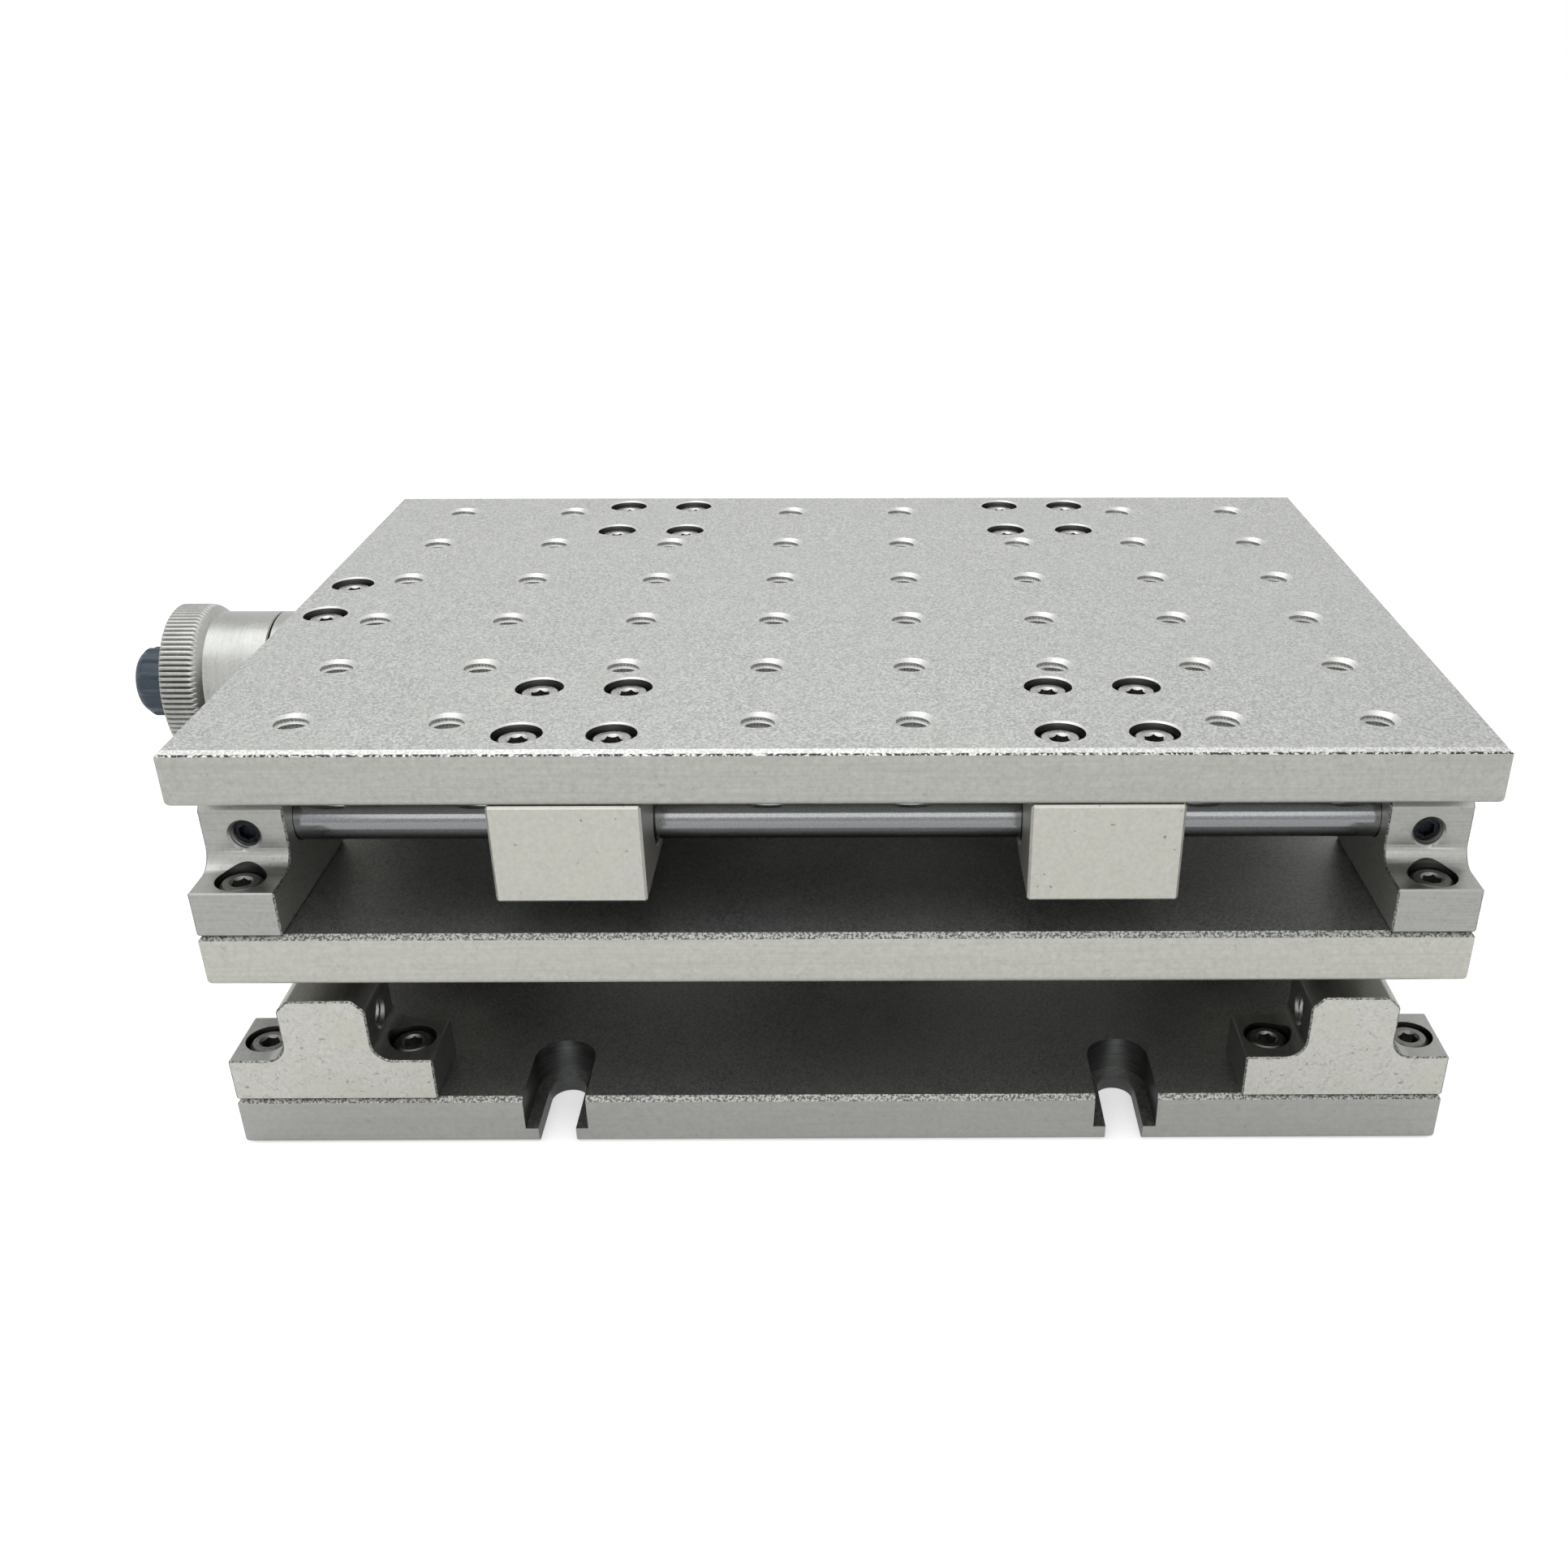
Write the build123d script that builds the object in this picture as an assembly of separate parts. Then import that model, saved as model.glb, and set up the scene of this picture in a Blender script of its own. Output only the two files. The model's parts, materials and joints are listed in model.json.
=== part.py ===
from build123d import *
import math
import os

# Hand-driven xy table, drawn in millimetres with +Z up.
# The origin is the centre of the base plate's underside.
# X runs along the long side of the plates, Y runs from front to rear.
# Three equal plates are stacked: base, middle and table.
# The middle plate slides along Y on the lower shafts, the table slides along X on the upper ones.

# Plates
plate_length = 210.0
plate_width = 150.0
plate_thickness = 9.5
plate_gap = 23.25
edge_chamfer = 1.0
edge_radius = 1.2

# Grid of tapped holes in the table
grid_pitch = 25.0
grid_columns = 8
grid_rows = 6
tapped_radius = 3.0
hole_spacing_wall = 1.0

# Edge slots in the base
slot_spacing_x = 100.0
slot_spacing_y = 125.0
slot_width = 6.6
slot_head_width = 11.0
slot_lip = 3.0

# Guide shafts and their fits
shaft_radius = 4.0
shaft_height = 13.5
shaft_end_gap = 0.5
seat_clearance = 0.02
running_clearance = 0.03

# End blocks that hold the shafts
end_block_length = 14.0
end_block_width = 35.0
end_block_roof = 2.5
flange_thickness = 8.0
neck_width = 15.0
neck_fillet = 3.5
neck_chamfer = 2.0
end_wall = 3.0
block_screw_spacing = 25.0

# Bearing blocks that run on the shafts
bearing_length = 24.5
bearing_width = 35.0
bearing_floor = 2.25
bearing_break = 0.4
bearing_screws_along = 15.0
bearing_screws_across = 20.0
x_bearing_spread = 86.0
y_bearing_spread = 46.0
bush_wall = 1.0
bush_recess = 1.0

# Cap screws and set screws
screw_radius = 2.0
screw_head_radius = 3.5
screw_head_height = 4.0
counterbore_radius = 4.1
plate_screw_length = 12.0
plate_screw_recess = 1.05
block_screw_length = 10.0
block_screw_recess = 0.4
thread_run_out = 1.0
set_screw_radius = 2.5
set_screw_recess = 1.3

# Sides of the prisms that stand for small round pieces and their holes, to keep the faces few
head_sides = 10
shank_sides = 4
seat_sides = 12

# Travel and lead screws
x_travel = 35.0
y_travel = 25.0
spindle_drop = 7.5
lead_screw_radius = 4.0
journal_radius = 3.0
wheel_seat_radius = 2.5
screw_overrun = 4.0
screw_end_chamfer = 0.8

# Nuts and their blocks
nut_length = 16.0
nut_wall = 1.5
nut_roof = 1.25
nut_neck_width = 16.0
nut_stop_gap = 6.0
nut_running_clearance = 0.05

# Screw brackets
bracket_length = 14.0
bracket_width = 30.0
bracket_floor = 2.5
bracket_radius = 2.0
bracket_screw_spacing = 18.5
spigot_radius = 8.0
sleeve_length = 5.4
spindle_bush_wall = 2.0
spindle_flange_radius = 7.0
spindle_flange = 1.0
axial_play = 0.1

# Handwheels
wheel_clearance = 0.55
wheel_length = 19.4
rim_width = 5.5
rim_step = 1.5
rim_taper = 1.9
tooth_pitch = 1.06
tooth_depth = 0.4
taper_step = 0.1
dial_gap = 0.5
hub_radius = 6.0

# Clamp knobs
knob_radius = 6.4
knob_length = 9.0
knob_end_break = 1.6
rib_count = 12
rib_width = 1.2
rib_crest = 0.7
rib_height = 0.5
rib_end_gap = 2.2
knob_floor = 3.0
knob_clearance = 0.05

# Heights above the base's underside, worked out from the sizes above
base_top = plate_thickness
middle_bottom = base_top + plate_gap
middle_top = middle_bottom + plate_thickness
table_bottom = middle_top + plate_gap
shaft_drop = plate_gap - shaft_height
nut_height = plate_gap - spindle_drop

# Places in plan
x_block_place = (plate_length - end_block_length) / 2
y_block_place = (plate_width - end_block_length) / 2
x_shaft_place = (plate_width - end_block_width) / 2
y_shaft_place = (plate_length - end_block_width) / 2
x_bearing_place = x_bearing_spread / 2
y_bearing_place = y_bearing_spread / 2

# Sizes that follow from a fit
bush_radius = shaft_radius + running_clearance + bush_wall
bush_length = bearing_length - 2 * bush_recess
bearing_height = shaft_drop + bush_radius + bearing_floor
end_block_height = shaft_height + shaft_radius + end_block_roof
nut_radius = lead_screw_radius + nut_wall
nut_block_height = nut_height + nut_radius + nut_roof
spindle_bush_radius = journal_radius + running_clearance + spindle_bush_wall
bracket_height = spindle_drop + spindle_bush_radius + bracket_floor
rim_radius = nut_height - wheel_clearance
barrel_radius = rim_radius - rim_step
spigot_length = sleeve_length - spindle_flange
wheel_start = sleeve_length + dial_gap
wheel_end = wheel_start + wheel_length
knob_start = wheel_end + axial_play
screw_shoulder = -bracket_length - axial_play
plate_seat = plate_thickness - plate_screw_recess - screw_head_height
block_seat = flange_thickness - block_screw_recess - screw_head_height

BOTTOM = (Align.CENTER, Align.CENTER, Align.MIN)
TOP = (Align.CENTER, Align.CENTER, Align.MAX)
SIDES = (-1, 1)
SIDE_NAMES = {-1: "left", 1: "right"}
END_NAMES = {-1: "front", 1: "rear"}


def prism(radius, sides, height, align=BOTTOM):
    """An upright prism with its corners on the radius, which stands for a small cylinder."""
    solid = extrude(RegularPolygon(radius, sides), amount=height)
    return Pos(0, 0, -height) * solid if align is TOP else solid


def hole_prism(radius, sides, height):
    """An upright prism with its flats on the radius, so that a cylinder of that radius fits in it."""
    return extrude(RegularPolygon(radius, sides, major_radius=False), amount=height)


def along_x(solid):
    """Turn a shape drawn upright so that its top points along +X."""
    return Rot(0, 90, 0) * solid


def corner_points(spacing_x, spacing_y, x=0.0, y=0.0):
    """The four corners of a rectangle of holes, or two points where one spacing is nothing."""
    xs = [x - spacing_x / 2, x + spacing_x / 2] if spacing_x else [x]
    ys = [y - spacing_y / 2, y + spacing_y / 2] if spacing_y else [y]
    return [(px, py) for px in xs for py in ys]


def cap_screw(length):
    """A cap screw that points down, with the underside of its head at height nothing."""
    shank = prism(screw_radius, shank_sides, length, TOP)
    head = prism(screw_head_radius, head_sides, screw_head_height)
    return shank + head


def shank_hole(depth):
    """The hole for a screw's shank, from height nothing down."""
    return prism(screw_radius + seat_clearance, shank_sides, depth, TOP)


def screw_pocket(seat, top):
    """A counterbore from a screw's seat up to the surface, with the hole for the shank below it."""
    depth = top - seat
    head_room = prism(counterbore_radius, head_sides, depth)
    return Pos(0, 0, seat) * (head_room + shank_hole(seat))


def plate_screw_points_upper():
    """Screws through the table: four to each upper bearing block, two to the bracket."""
    points = []
    for sx in SIDES:
        for sy in SIDES:
            x = sx * x_bearing_place
            y = sy * x_shaft_place
            points += corner_points(bearing_screws_along, bearing_screws_across, x, y)
    bracket_x = -(plate_length - bracket_length) / 2
    return points + corner_points(0, bracket_screw_spacing, bracket_x, 0)


def plate_screw_points_middle():
    """Screws through the middle plate: four to each lower bearing block, two to the bracket."""
    points = []
    for sx in SIDES:
        for sy in SIDES:
            x = sx * y_shaft_place
            y = sy * y_bearing_place
            points += corner_points(bearing_screws_across, bearing_screws_along, x, y)
    bracket_y = (plate_width - bracket_length) / 2
    return points + corner_points(bracket_screw_spacing, 0, 0, bracket_y)


def end_block_places(upper):
    """Each end block's name, centre, turn about Z and the side of its set screw."""
    places = []
    for sx in SIDES:
        for sy in SIDES:
            name = f"{END_NAMES[sy]}_{SIDE_NAMES[sx]}"
            if upper:
                place = (sx * x_block_place, sy * x_shaft_place, middle_top)
                turn = 90 - 90 * sx
            else:
                place = (sx * y_shaft_place, sy * y_block_place, base_top)
                turn = 90 * sy
            places.append((name, place, turn, sx * sy))
    return places


def nut_block_place(upper):
    """The centre of a nut block on the plate below, and its turn about Z."""
    travel = x_travel if upper else y_travel
    inset = travel + nut_stop_gap + nut_length / 2 - screw_shoulder
    if upper:
        return (inset - plate_length / 2, 0, middle_top), 180
    return (0, plate_width / 2 - inset, base_top), 90


def block_screw_points(upper):
    """Screws that hold the end blocks and the nut block down on the plate below them."""
    points = []
    centres = [(place, turn) for _, place, turn, _ in end_block_places(upper)]
    centres.append(nut_block_place(upper))
    for (x, y, _), turn in centres:
        across_x = turn % 180 != 0
        spacing_x = block_screw_spacing if across_x else 0
        spacing_y = 0 if across_x else block_screw_spacing
        points += corner_points(spacing_x, spacing_y, x, y)
    return points


def blank_plate():
    """A plate with chamfered upper edges and rounded lower edges."""
    plate = Box(plate_length, plate_width, plate_thickness, align=BOTTOM)
    plate = chamfer(plate.faces().sort_by(Axis.Z)[-1].edges(), edge_chamfer)
    return fillet(plate.faces().sort_by(Axis.Z)[0].edges(), edge_radius)


def edge_slot(width, floor):
    """A cutter for one slot that is open at the front edge, from its floor upwards."""
    reach = (plate_width - slot_spacing_y) / 2 + plate_thickness
    height = plate_thickness - floor + edge_chamfer
    straight = Pos(0, -reach / 2, 0) * Box(width, reach, height, align=BOTTOM)
    return Pos(0, 0, floor) * (straight + Cylinder(width / 2, height, align=BOTTOM))


def base_plate():
    plate = blank_plate()
    cutter = edge_slot(slot_width, -edge_chamfer) + edge_slot(slot_head_width, slot_lip)
    for sx in SIDES:
        plate -= Pos(sx * slot_spacing_x / 2, -slot_spacing_y / 2, 0) * cutter
        plate -= Pos(sx * slot_spacing_x / 2, slot_spacing_y / 2, 0) * Rot(0, 0, 180) * cutter
    depth = block_screw_length - block_seat + thread_run_out
    for x, y in block_screw_points(upper=False):
        plate -= Pos(x, y, plate_thickness) * shank_hole(depth)
    return plate


def middle_plate():
    plate = blank_plate()
    pocket = screw_pocket(plate_seat, plate_thickness)
    for x, y in plate_screw_points_middle():
        plate -= Pos(x, y, 0) * pocket
    depth = block_screw_length - block_seat + thread_run_out
    for x, y in block_screw_points(upper=True):
        plate -= Pos(x, y, plate_thickness) * shank_hole(depth)
    return Pos(0, 0, middle_bottom) * plate


def grid_points():
    """The tapped holes, less those that would cut into a screw's counterbore."""
    nearest = tapped_radius + counterbore_radius + hole_spacing_wall
    points = []
    for column in range(grid_columns):
        for row in range(grid_rows):
            x = (column - (grid_columns - 1) / 2) * grid_pitch
            y = (row - (grid_rows - 1) / 2) * grid_pitch
            gaps = [math.hypot(x - px, y - py) for px, py in plate_screw_points_upper()]
            if min(gaps) > nearest:
                points.append((x, y))
    return points


def table_plate():
    plate = blank_plate()
    pocket = screw_pocket(plate_seat, plate_thickness)
    for x, y in plate_screw_points_upper():
        plate -= Pos(x, y, 0) * pocket
    tapped = Cylinder(tapped_radius, plate_thickness, align=BOTTOM)
    for x, y in grid_points():
        plate -= Pos(x, y, 0) * tapped
    return Pos(0, 0, table_bottom) * plate


def t_block(length, width, neck, height):
    """An inverted T section along X, standing on its flange."""
    flange = Rectangle(width, flange_thickness, align=(Align.CENTER, Align.MIN))
    outline = flange + Rectangle(neck, height, align=(Align.CENTER, Align.MIN))
    on_flange = outline.vertices().filter_by_position(Axis.Y, flange_thickness, flange_thickness)
    outline = fillet(on_flange.sort_by(lambda v: abs(v.X))[:2], neck_fillet)
    outline = chamfer(outline.vertices().group_by(Axis.Y)[-1], neck_chamfer)
    return extrude(Plane.YZ * outline, amount=length / 2, both=True)


def flange_pockets():
    """The two counterbores in the flange of a T block, open up through the neck's fillet."""
    pocket = screw_pocket(block_seat, flange_thickness + neck_fillet)
    return [Pos(0, sy * block_screw_spacing / 2, 0) * pocket for sy in SIDES]


def end_block(set_screw_side):
    """An end block with a blind bore open towards -X, and a tapped hole for the set screw."""
    block = t_block(end_block_length, end_block_width, neck_width, end_block_height)
    for pocket in flange_pockets():
        block -= pocket
    bore_depth = end_block_length - end_wall
    bore = along_x(hole_prism(shaft_radius + seat_clearance, seat_sides, bore_depth))
    block -= Pos(-end_block_length / 2, 0, shaft_height) * bore
    hole = prism(set_screw_radius + seat_clearance, head_sides, neck_width / 2)
    block -= Pos(0, 0, shaft_height) * Rot(-90 * set_screw_side, 0, 0) * hole
    return block


def set_screw(side):
    """A set screw that bears on the shaft from one side."""
    length = neck_width / 2 - shaft_radius - set_screw_recess
    screw = Pos(0, 0, shaft_radius) * prism(set_screw_radius, head_sides, length)
    return Pos(0, 0, shaft_height) * Rot(-90 * side, 0, 0) * screw


def bearing_block():
    """A bearing block on a shaft along X. Its top face, at height nothing, meets the plate above."""
    block = Box(bearing_length, bearing_width, bearing_height, align=TOP)
    block = chamfer(block.edges(), bearing_break)
    bore = along_x(prism(bush_radius + seat_clearance, seat_sides, bearing_length))
    block -= Pos(-bearing_length / 2, 0, -shaft_drop) * bore
    depth = plate_screw_length - plate_seat + thread_run_out
    for x, y in corner_points(bearing_screws_along, bearing_screws_across):
        block -= Pos(x, y, 0) * shank_hole(depth)
    return block


def slide_bush():
    """The plain bush inside a bearing block."""
    bush = prism(bush_radius, seat_sides, bush_length)
    bush -= Cylinder(shaft_radius + running_clearance, bush_length, align=BOTTOM)
    return Pos(-bush_length / 2, 0, -shaft_drop) * along_x(bush)


def guide_shaft(plate_size):
    """A ground shaft along X that reaches into the blind bores of two end blocks."""
    return along_x(Cylinder(shaft_radius, plate_size - 2 * (end_wall + shaft_end_gap)))


def nut_block():
    block = t_block(nut_length, end_block_width, nut_neck_width, nut_block_height)
    for pocket in flange_pockets():
        block -= pocket
    bore = along_x(prism(nut_radius + seat_clearance, seat_sides, nut_length))
    return block - Pos(-nut_length / 2, 0, nut_height) * bore


def lead_nut():
    nut = prism(nut_radius, seat_sides, nut_length)
    nut -= Cylinder(lead_screw_radius + nut_running_clearance, nut_length, align=BOTTOM)
    return Pos(-nut_length / 2, 0, nut_height) * along_x(nut)


def screw_bracket():
    """The bracket on the screw's axis. It ends at the plate's side face, apart from its spigot."""
    block = Box(bracket_length, bracket_width, bracket_height, align=(Align.MAX, Align.CENTER, Align.MAX))
    block = Pos(0, 0, spindle_drop) * block
    lower = block.faces().sort_by(Axis.Z)[0].edges().filter_by(Axis.X)
    block = fillet(lower, bracket_radius)
    block += along_x(prism(spigot_radius, seat_sides, spigot_length))
    bore = along_x(prism(spindle_bush_radius + seat_clearance, seat_sides, bracket_length + spigot_length))
    block -= Pos(-bracket_length, 0, 0) * bore
    depth = plate_screw_length - plate_seat + thread_run_out
    for y in (-bracket_screw_spacing / 2, bracket_screw_spacing / 2):
        block -= Pos(-bracket_length / 2, y, spindle_drop) * shank_hole(depth)
    return block


def dial_sleeve():
    """The fixed collar between the bracket and the handwheel, seated on the bracket's spigot."""
    ring = Cylinder(barrel_radius, sleeve_length, align=BOTTOM)
    ring -= prism(spigot_radius + seat_clearance, seat_sides, sleeve_length)
    return along_x(ring)


def spindle_bush():
    """A flanged bush through the bracket, with its flange on the spigot's end."""
    length = bracket_length + spigot_length
    bush = prism(spindle_bush_radius, seat_sides, length)
    bush += Pos(0, 0, length) * prism(spindle_flange_radius, seat_sides, spindle_flange)
    bush -= Cylinder(journal_radius + running_clearance, length + spindle_flange, align=BOTTOM)
    return Pos(-bracket_length, 0, 0) * along_x(bush)


def lead_screw(travel):
    """The lead screw, with its turned journal in the bush and the seat of the wheel and knob."""
    nut_end = screw_shoulder - travel - nut_stop_gap - nut_length
    start = nut_end - travel - screw_overrun
    seat_start = sleeve_length + axial_play
    seat_length = wheel_end + knob_length - knob_floor - seat_start
    screw = Pos(0, 0, start) * Cylinder(lead_screw_radius, screw_shoulder - start, align=BOTTOM)
    screw = chamfer(screw.faces().sort_by(Axis.Z)[0].edges(), screw_end_chamfer)
    journal_length = seat_start - screw_shoulder
    screw += Pos(0, 0, screw_shoulder) * Cylinder(journal_radius, journal_length, align=BOTTOM)
    screw += Pos(0, 0, seat_start) * prism(wheel_seat_radius, seat_sides, seat_length)
    return along_x(screw)


def knurled_rim():
    """The rim with straight knurling: one tooth to each pitch round the circumference."""
    teeth = round(2 * math.pi * rim_radius / tooth_pitch)
    points = []
    for i in range(2 * teeth):
        radius = rim_radius if i % 2 == 0 else rim_radius - tooth_depth
        angle = math.pi * i / teeth
        points.append((radius * math.cos(angle), radius * math.sin(angle)))
    return extrude(Polygon(*points, align=None), amount=rim_width)


def handwheel():
    """A turned barrel with a taper up to the knurled rim, and a hub that bears on the bush."""
    rim_start = wheel_end - rim_width
    taper_start = rim_start - rim_taper
    hub_start = sleeve_length + axial_play
    profile = Polyline(
        (0, wheel_start),
        (barrel_radius, wheel_start),
        (barrel_radius, taper_start),
        (rim_radius - tooth_depth - taper_step, rim_start),
        (0, rim_start),
        close=True,
    )
    wheel = revolve(make_face(Plane.XZ * profile), Axis.Z)
    wheel += Pos(0, 0, rim_start) * knurled_rim()
    wheel += Pos(0, 0, hub_start) * prism(hub_radius, seat_sides, wheel_start - hub_start)
    bore = prism(wheel_seat_radius + seat_clearance, seat_sides, wheel_end - hub_start)
    return along_x(wheel - Pos(0, 0, hub_start) * bore)


def clamp_knob():
    """A moulded knob with ribs round it and a blind hole for the lead screw's end."""
    body = Cylinder(knob_radius, knob_length, align=BOTTOM)
    body = chamfer(body.faces().sort_by(Axis.Z)[-1].edges(), knob_end_break)
    root = math.sqrt(knob_radius**2 - (rib_width / 2) ** 2)
    corners = [
        (0, -rib_width / 2),
        (root, -rib_width / 2),
        (knob_radius + rib_height, -rib_crest / 2),
        (knob_radius + rib_height, rib_crest / 2),
        (root, rib_width / 2),
        (0, rib_width / 2),
    ]
    rib = extrude(Polygon(*corners, align=None), amount=knob_length - rib_end_gap)
    for i in range(rib_count):
        body += Rot(0, 0, 360 * i / rib_count) * rib
    hole_depth = knob_length - knob_floor
    body -= hole_prism(wheel_seat_radius + knob_clearance, seat_sides, hole_depth)
    return Pos(knob_start, 0, 0) * along_x(body)


def on_x_unit(solid):
    """Place a piece of a screw unit on the table's left side, pointing outwards."""
    return Pos(-plate_length / 2, 0, table_bottom - spindle_drop) * Rot(0, 0, 180) * solid


def on_y_unit(solid):
    """Place a piece of a screw unit on the middle plate's rear side, pointing outwards."""
    return Pos(0, plate_width / 2, middle_bottom - spindle_drop) * Rot(0, 0, 90) * solid


def save(name, shape):
    """Write one node. A list of solids becomes one group."""
    if isinstance(shape, list):
        shape = Compound(children=shape)
    export_step(shape, f"parts/{name}.step")


def save_guides(prefix, upper):
    """One level's end blocks, set screws, shafts, bearing blocks and bushes."""
    set_screws = []
    for name, place, turn, side in end_block_places(upper):
        put = Pos(*place) * Rot(0, 0, turn)
        save(f"{prefix}_end_block_{name}", put * end_block(side))
        set_screws.append(put * set_screw(side))
    save(f"{prefix}_set_screws", set_screws)
    turn = 0 if upper else 90
    plate_size = plate_length if upper else plate_width
    shaft_place = x_shaft_place if upper else y_shaft_place
    shaft_level = (middle_top if upper else base_top) + shaft_height
    for s in SIDES:
        name = END_NAMES[s] if upper else SIDE_NAMES[s]
        x, y = (0, s * shaft_place) if upper else (s * shaft_place, 0)
        save(f"{prefix}_shaft_{name}", Pos(x, y, shaft_level) * Rot(0, 0, turn) * guide_shaft(plate_size))
    ceiling = table_bottom if upper else middle_bottom
    for sx in SIDES:
        for sy in SIDES:
            x = sx * (x_bearing_place if upper else y_shaft_place)
            y = sy * (x_shaft_place if upper else y_bearing_place)
            put = Pos(x, y, ceiling) * Rot(0, 0, turn)
            name = f"{END_NAMES[sy]}_{SIDE_NAMES[sx]}"
            save(f"{prefix}_bearing_block_{name}", put * bearing_block())
            save(f"{prefix}_bush_{name}", put * slide_bush())


def save_screws():
    """All cap screws, grouped by what they hold."""
    plate_screw = cap_screw(plate_screw_length)
    block_screw = cap_screw(block_screw_length)
    groups = [
        ("table_plate_screws", plate_screw_points_upper(), table_bottom + plate_seat, plate_screw),
        ("middle_plate_screws", plate_screw_points_middle(), middle_bottom + plate_seat, plate_screw),
        ("upper_block_screws", block_screw_points(upper=True), middle_top + block_seat, block_screw),
        ("lower_block_screws", block_screw_points(upper=False), base_top + block_seat, block_screw),
    ]
    for name, points, seat, screw in groups:
        save(name, [Pos(x, y, seat) * screw for x, y in points])


def save_drive(prefix, put, upper):
    """One axis's nut block and nut, bracket, sleeve, bush, lead screw, wheel and knob."""
    place, turn = nut_block_place(upper)
    nut_put = Pos(*place) * Rot(0, 0, turn)
    save(f"{prefix}_nut_block", nut_put * nut_block())
    save(f"{prefix}_lead_nut", nut_put * lead_nut())
    save(f"{prefix}_screw_bracket", put(screw_bracket()))
    save(f"{prefix}_dial_sleeve", put(dial_sleeve()))
    save(f"{prefix}_spindle_bush", put(spindle_bush()))
    save(f"{prefix}_lead_screw", put(lead_screw(x_travel if upper else y_travel)))
    save(f"{prefix}_handwheel", put(handwheel()))
    save(f"{prefix}_clamp_knob", put(clamp_knob()))


os.makedirs("parts", exist_ok=True)
save("base_plate", base_plate())
save("middle_plate", middle_plate())
save("table_plate", table_plate())
save_guides("x", upper=True)
save_guides("y", upper=False)
save_screws()
save_drive("x", on_x_unit, upper=True)
save_drive("y", on_y_unit, upper=False)
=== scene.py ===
import json
import math

import bmesh
import bpy
from mathutils import Matrix, Vector


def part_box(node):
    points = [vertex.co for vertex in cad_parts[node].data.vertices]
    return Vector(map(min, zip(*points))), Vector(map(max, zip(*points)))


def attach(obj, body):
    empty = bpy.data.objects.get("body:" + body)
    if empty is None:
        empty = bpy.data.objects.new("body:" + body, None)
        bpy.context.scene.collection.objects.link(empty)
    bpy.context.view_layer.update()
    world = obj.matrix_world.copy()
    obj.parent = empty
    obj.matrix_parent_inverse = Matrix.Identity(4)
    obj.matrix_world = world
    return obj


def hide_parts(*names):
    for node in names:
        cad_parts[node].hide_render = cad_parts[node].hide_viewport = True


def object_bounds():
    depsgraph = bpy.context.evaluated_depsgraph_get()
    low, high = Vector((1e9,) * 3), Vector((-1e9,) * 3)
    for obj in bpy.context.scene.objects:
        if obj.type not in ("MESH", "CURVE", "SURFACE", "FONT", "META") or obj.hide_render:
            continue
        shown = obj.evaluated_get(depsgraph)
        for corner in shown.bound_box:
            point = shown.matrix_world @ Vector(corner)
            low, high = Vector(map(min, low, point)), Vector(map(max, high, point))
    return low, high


# A hand-driven xy table: three anodised plates on ground shafts, moved by two lead screws.
# It stands in metres, with +Z up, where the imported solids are. The sizes below are in millimetres
# and the angles in degrees, and MM turns a size to metres.

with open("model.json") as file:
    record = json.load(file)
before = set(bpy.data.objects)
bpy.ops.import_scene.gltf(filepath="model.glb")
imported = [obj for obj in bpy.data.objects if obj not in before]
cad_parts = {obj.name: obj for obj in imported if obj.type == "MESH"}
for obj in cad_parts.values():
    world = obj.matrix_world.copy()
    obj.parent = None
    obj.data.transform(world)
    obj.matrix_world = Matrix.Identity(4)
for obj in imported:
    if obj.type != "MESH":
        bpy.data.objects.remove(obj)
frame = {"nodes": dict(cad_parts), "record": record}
cad_low, cad_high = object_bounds()
record = frame["record"]

MM = 0.001
TURN = 2 * math.pi

# How near two places are that count as the same
NEAR = 0.01
# How far a cutter stands out of the surface that it cuts, and a long one at its ends
PROUD = 0.5
OVERRUN = 1.0

# Plates
EDGE_CHAMFER = 0.85
EDGE_RADIUS = 1.2
EDGE_STEPS = 6
PLATE_SIDE_SKIN = 0.05

# Tapped holes of the table, M6, and the turn at which their threads start
TAPPED_RADIUS = 3.0
TAPPED_CREST = 2.5
TAPPED_PITCH = 1.0
TAPPED_MOUTH = 3.45
TAPPED_START = 245
THREAD_FLANK = 30

# Slots of the base
SLOT_SPACING_X = 100.0
SLOT_SPACING_Y = 125.0
SLOT_WIDTH = 6.6
SLOT_HEAD_WIDTH = 11.0
SLOT_LIP = 3.0
SLOT_REACH = 20.0

# Cap screws and their pockets
SCREW_RADIUS = 2.0
SCREW_POINT = 0.3
HEAD_RADIUS = 3.5
HEAD_HEIGHT = 4.0
HEAD_BREAK = 0.55
HEX_ACROSS = 3.0
HEX_DEPTH = 2.0
HEX_STEP = 60
LEAD_IN = 0.45
LEAD_IN_PROUD = 0.1
POCKET_RADIUS = 4.1
POCKET_BREAK = 0.3
SHANK_HOLE_RADIUS = 2.2
# Turns for each millimetre along X and Y, which leave no two screws turned alike
SCREW_TURN_X = 37 * 11
SCREW_TURN_Y = 71 * 11

# Set screws, M5
SET_RADIUS = 2.5
SET_CREST = 2.1
SET_PITCH = 0.8
SET_MOUTH = 2.85
SET_HEX_ACROSS = 2.5
SET_HEX_DEPTH = 1.2
SET_CLEARANCE = 0.1
SET_POINT = 0.4
SET_TOP_BREAK = 0.3

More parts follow.
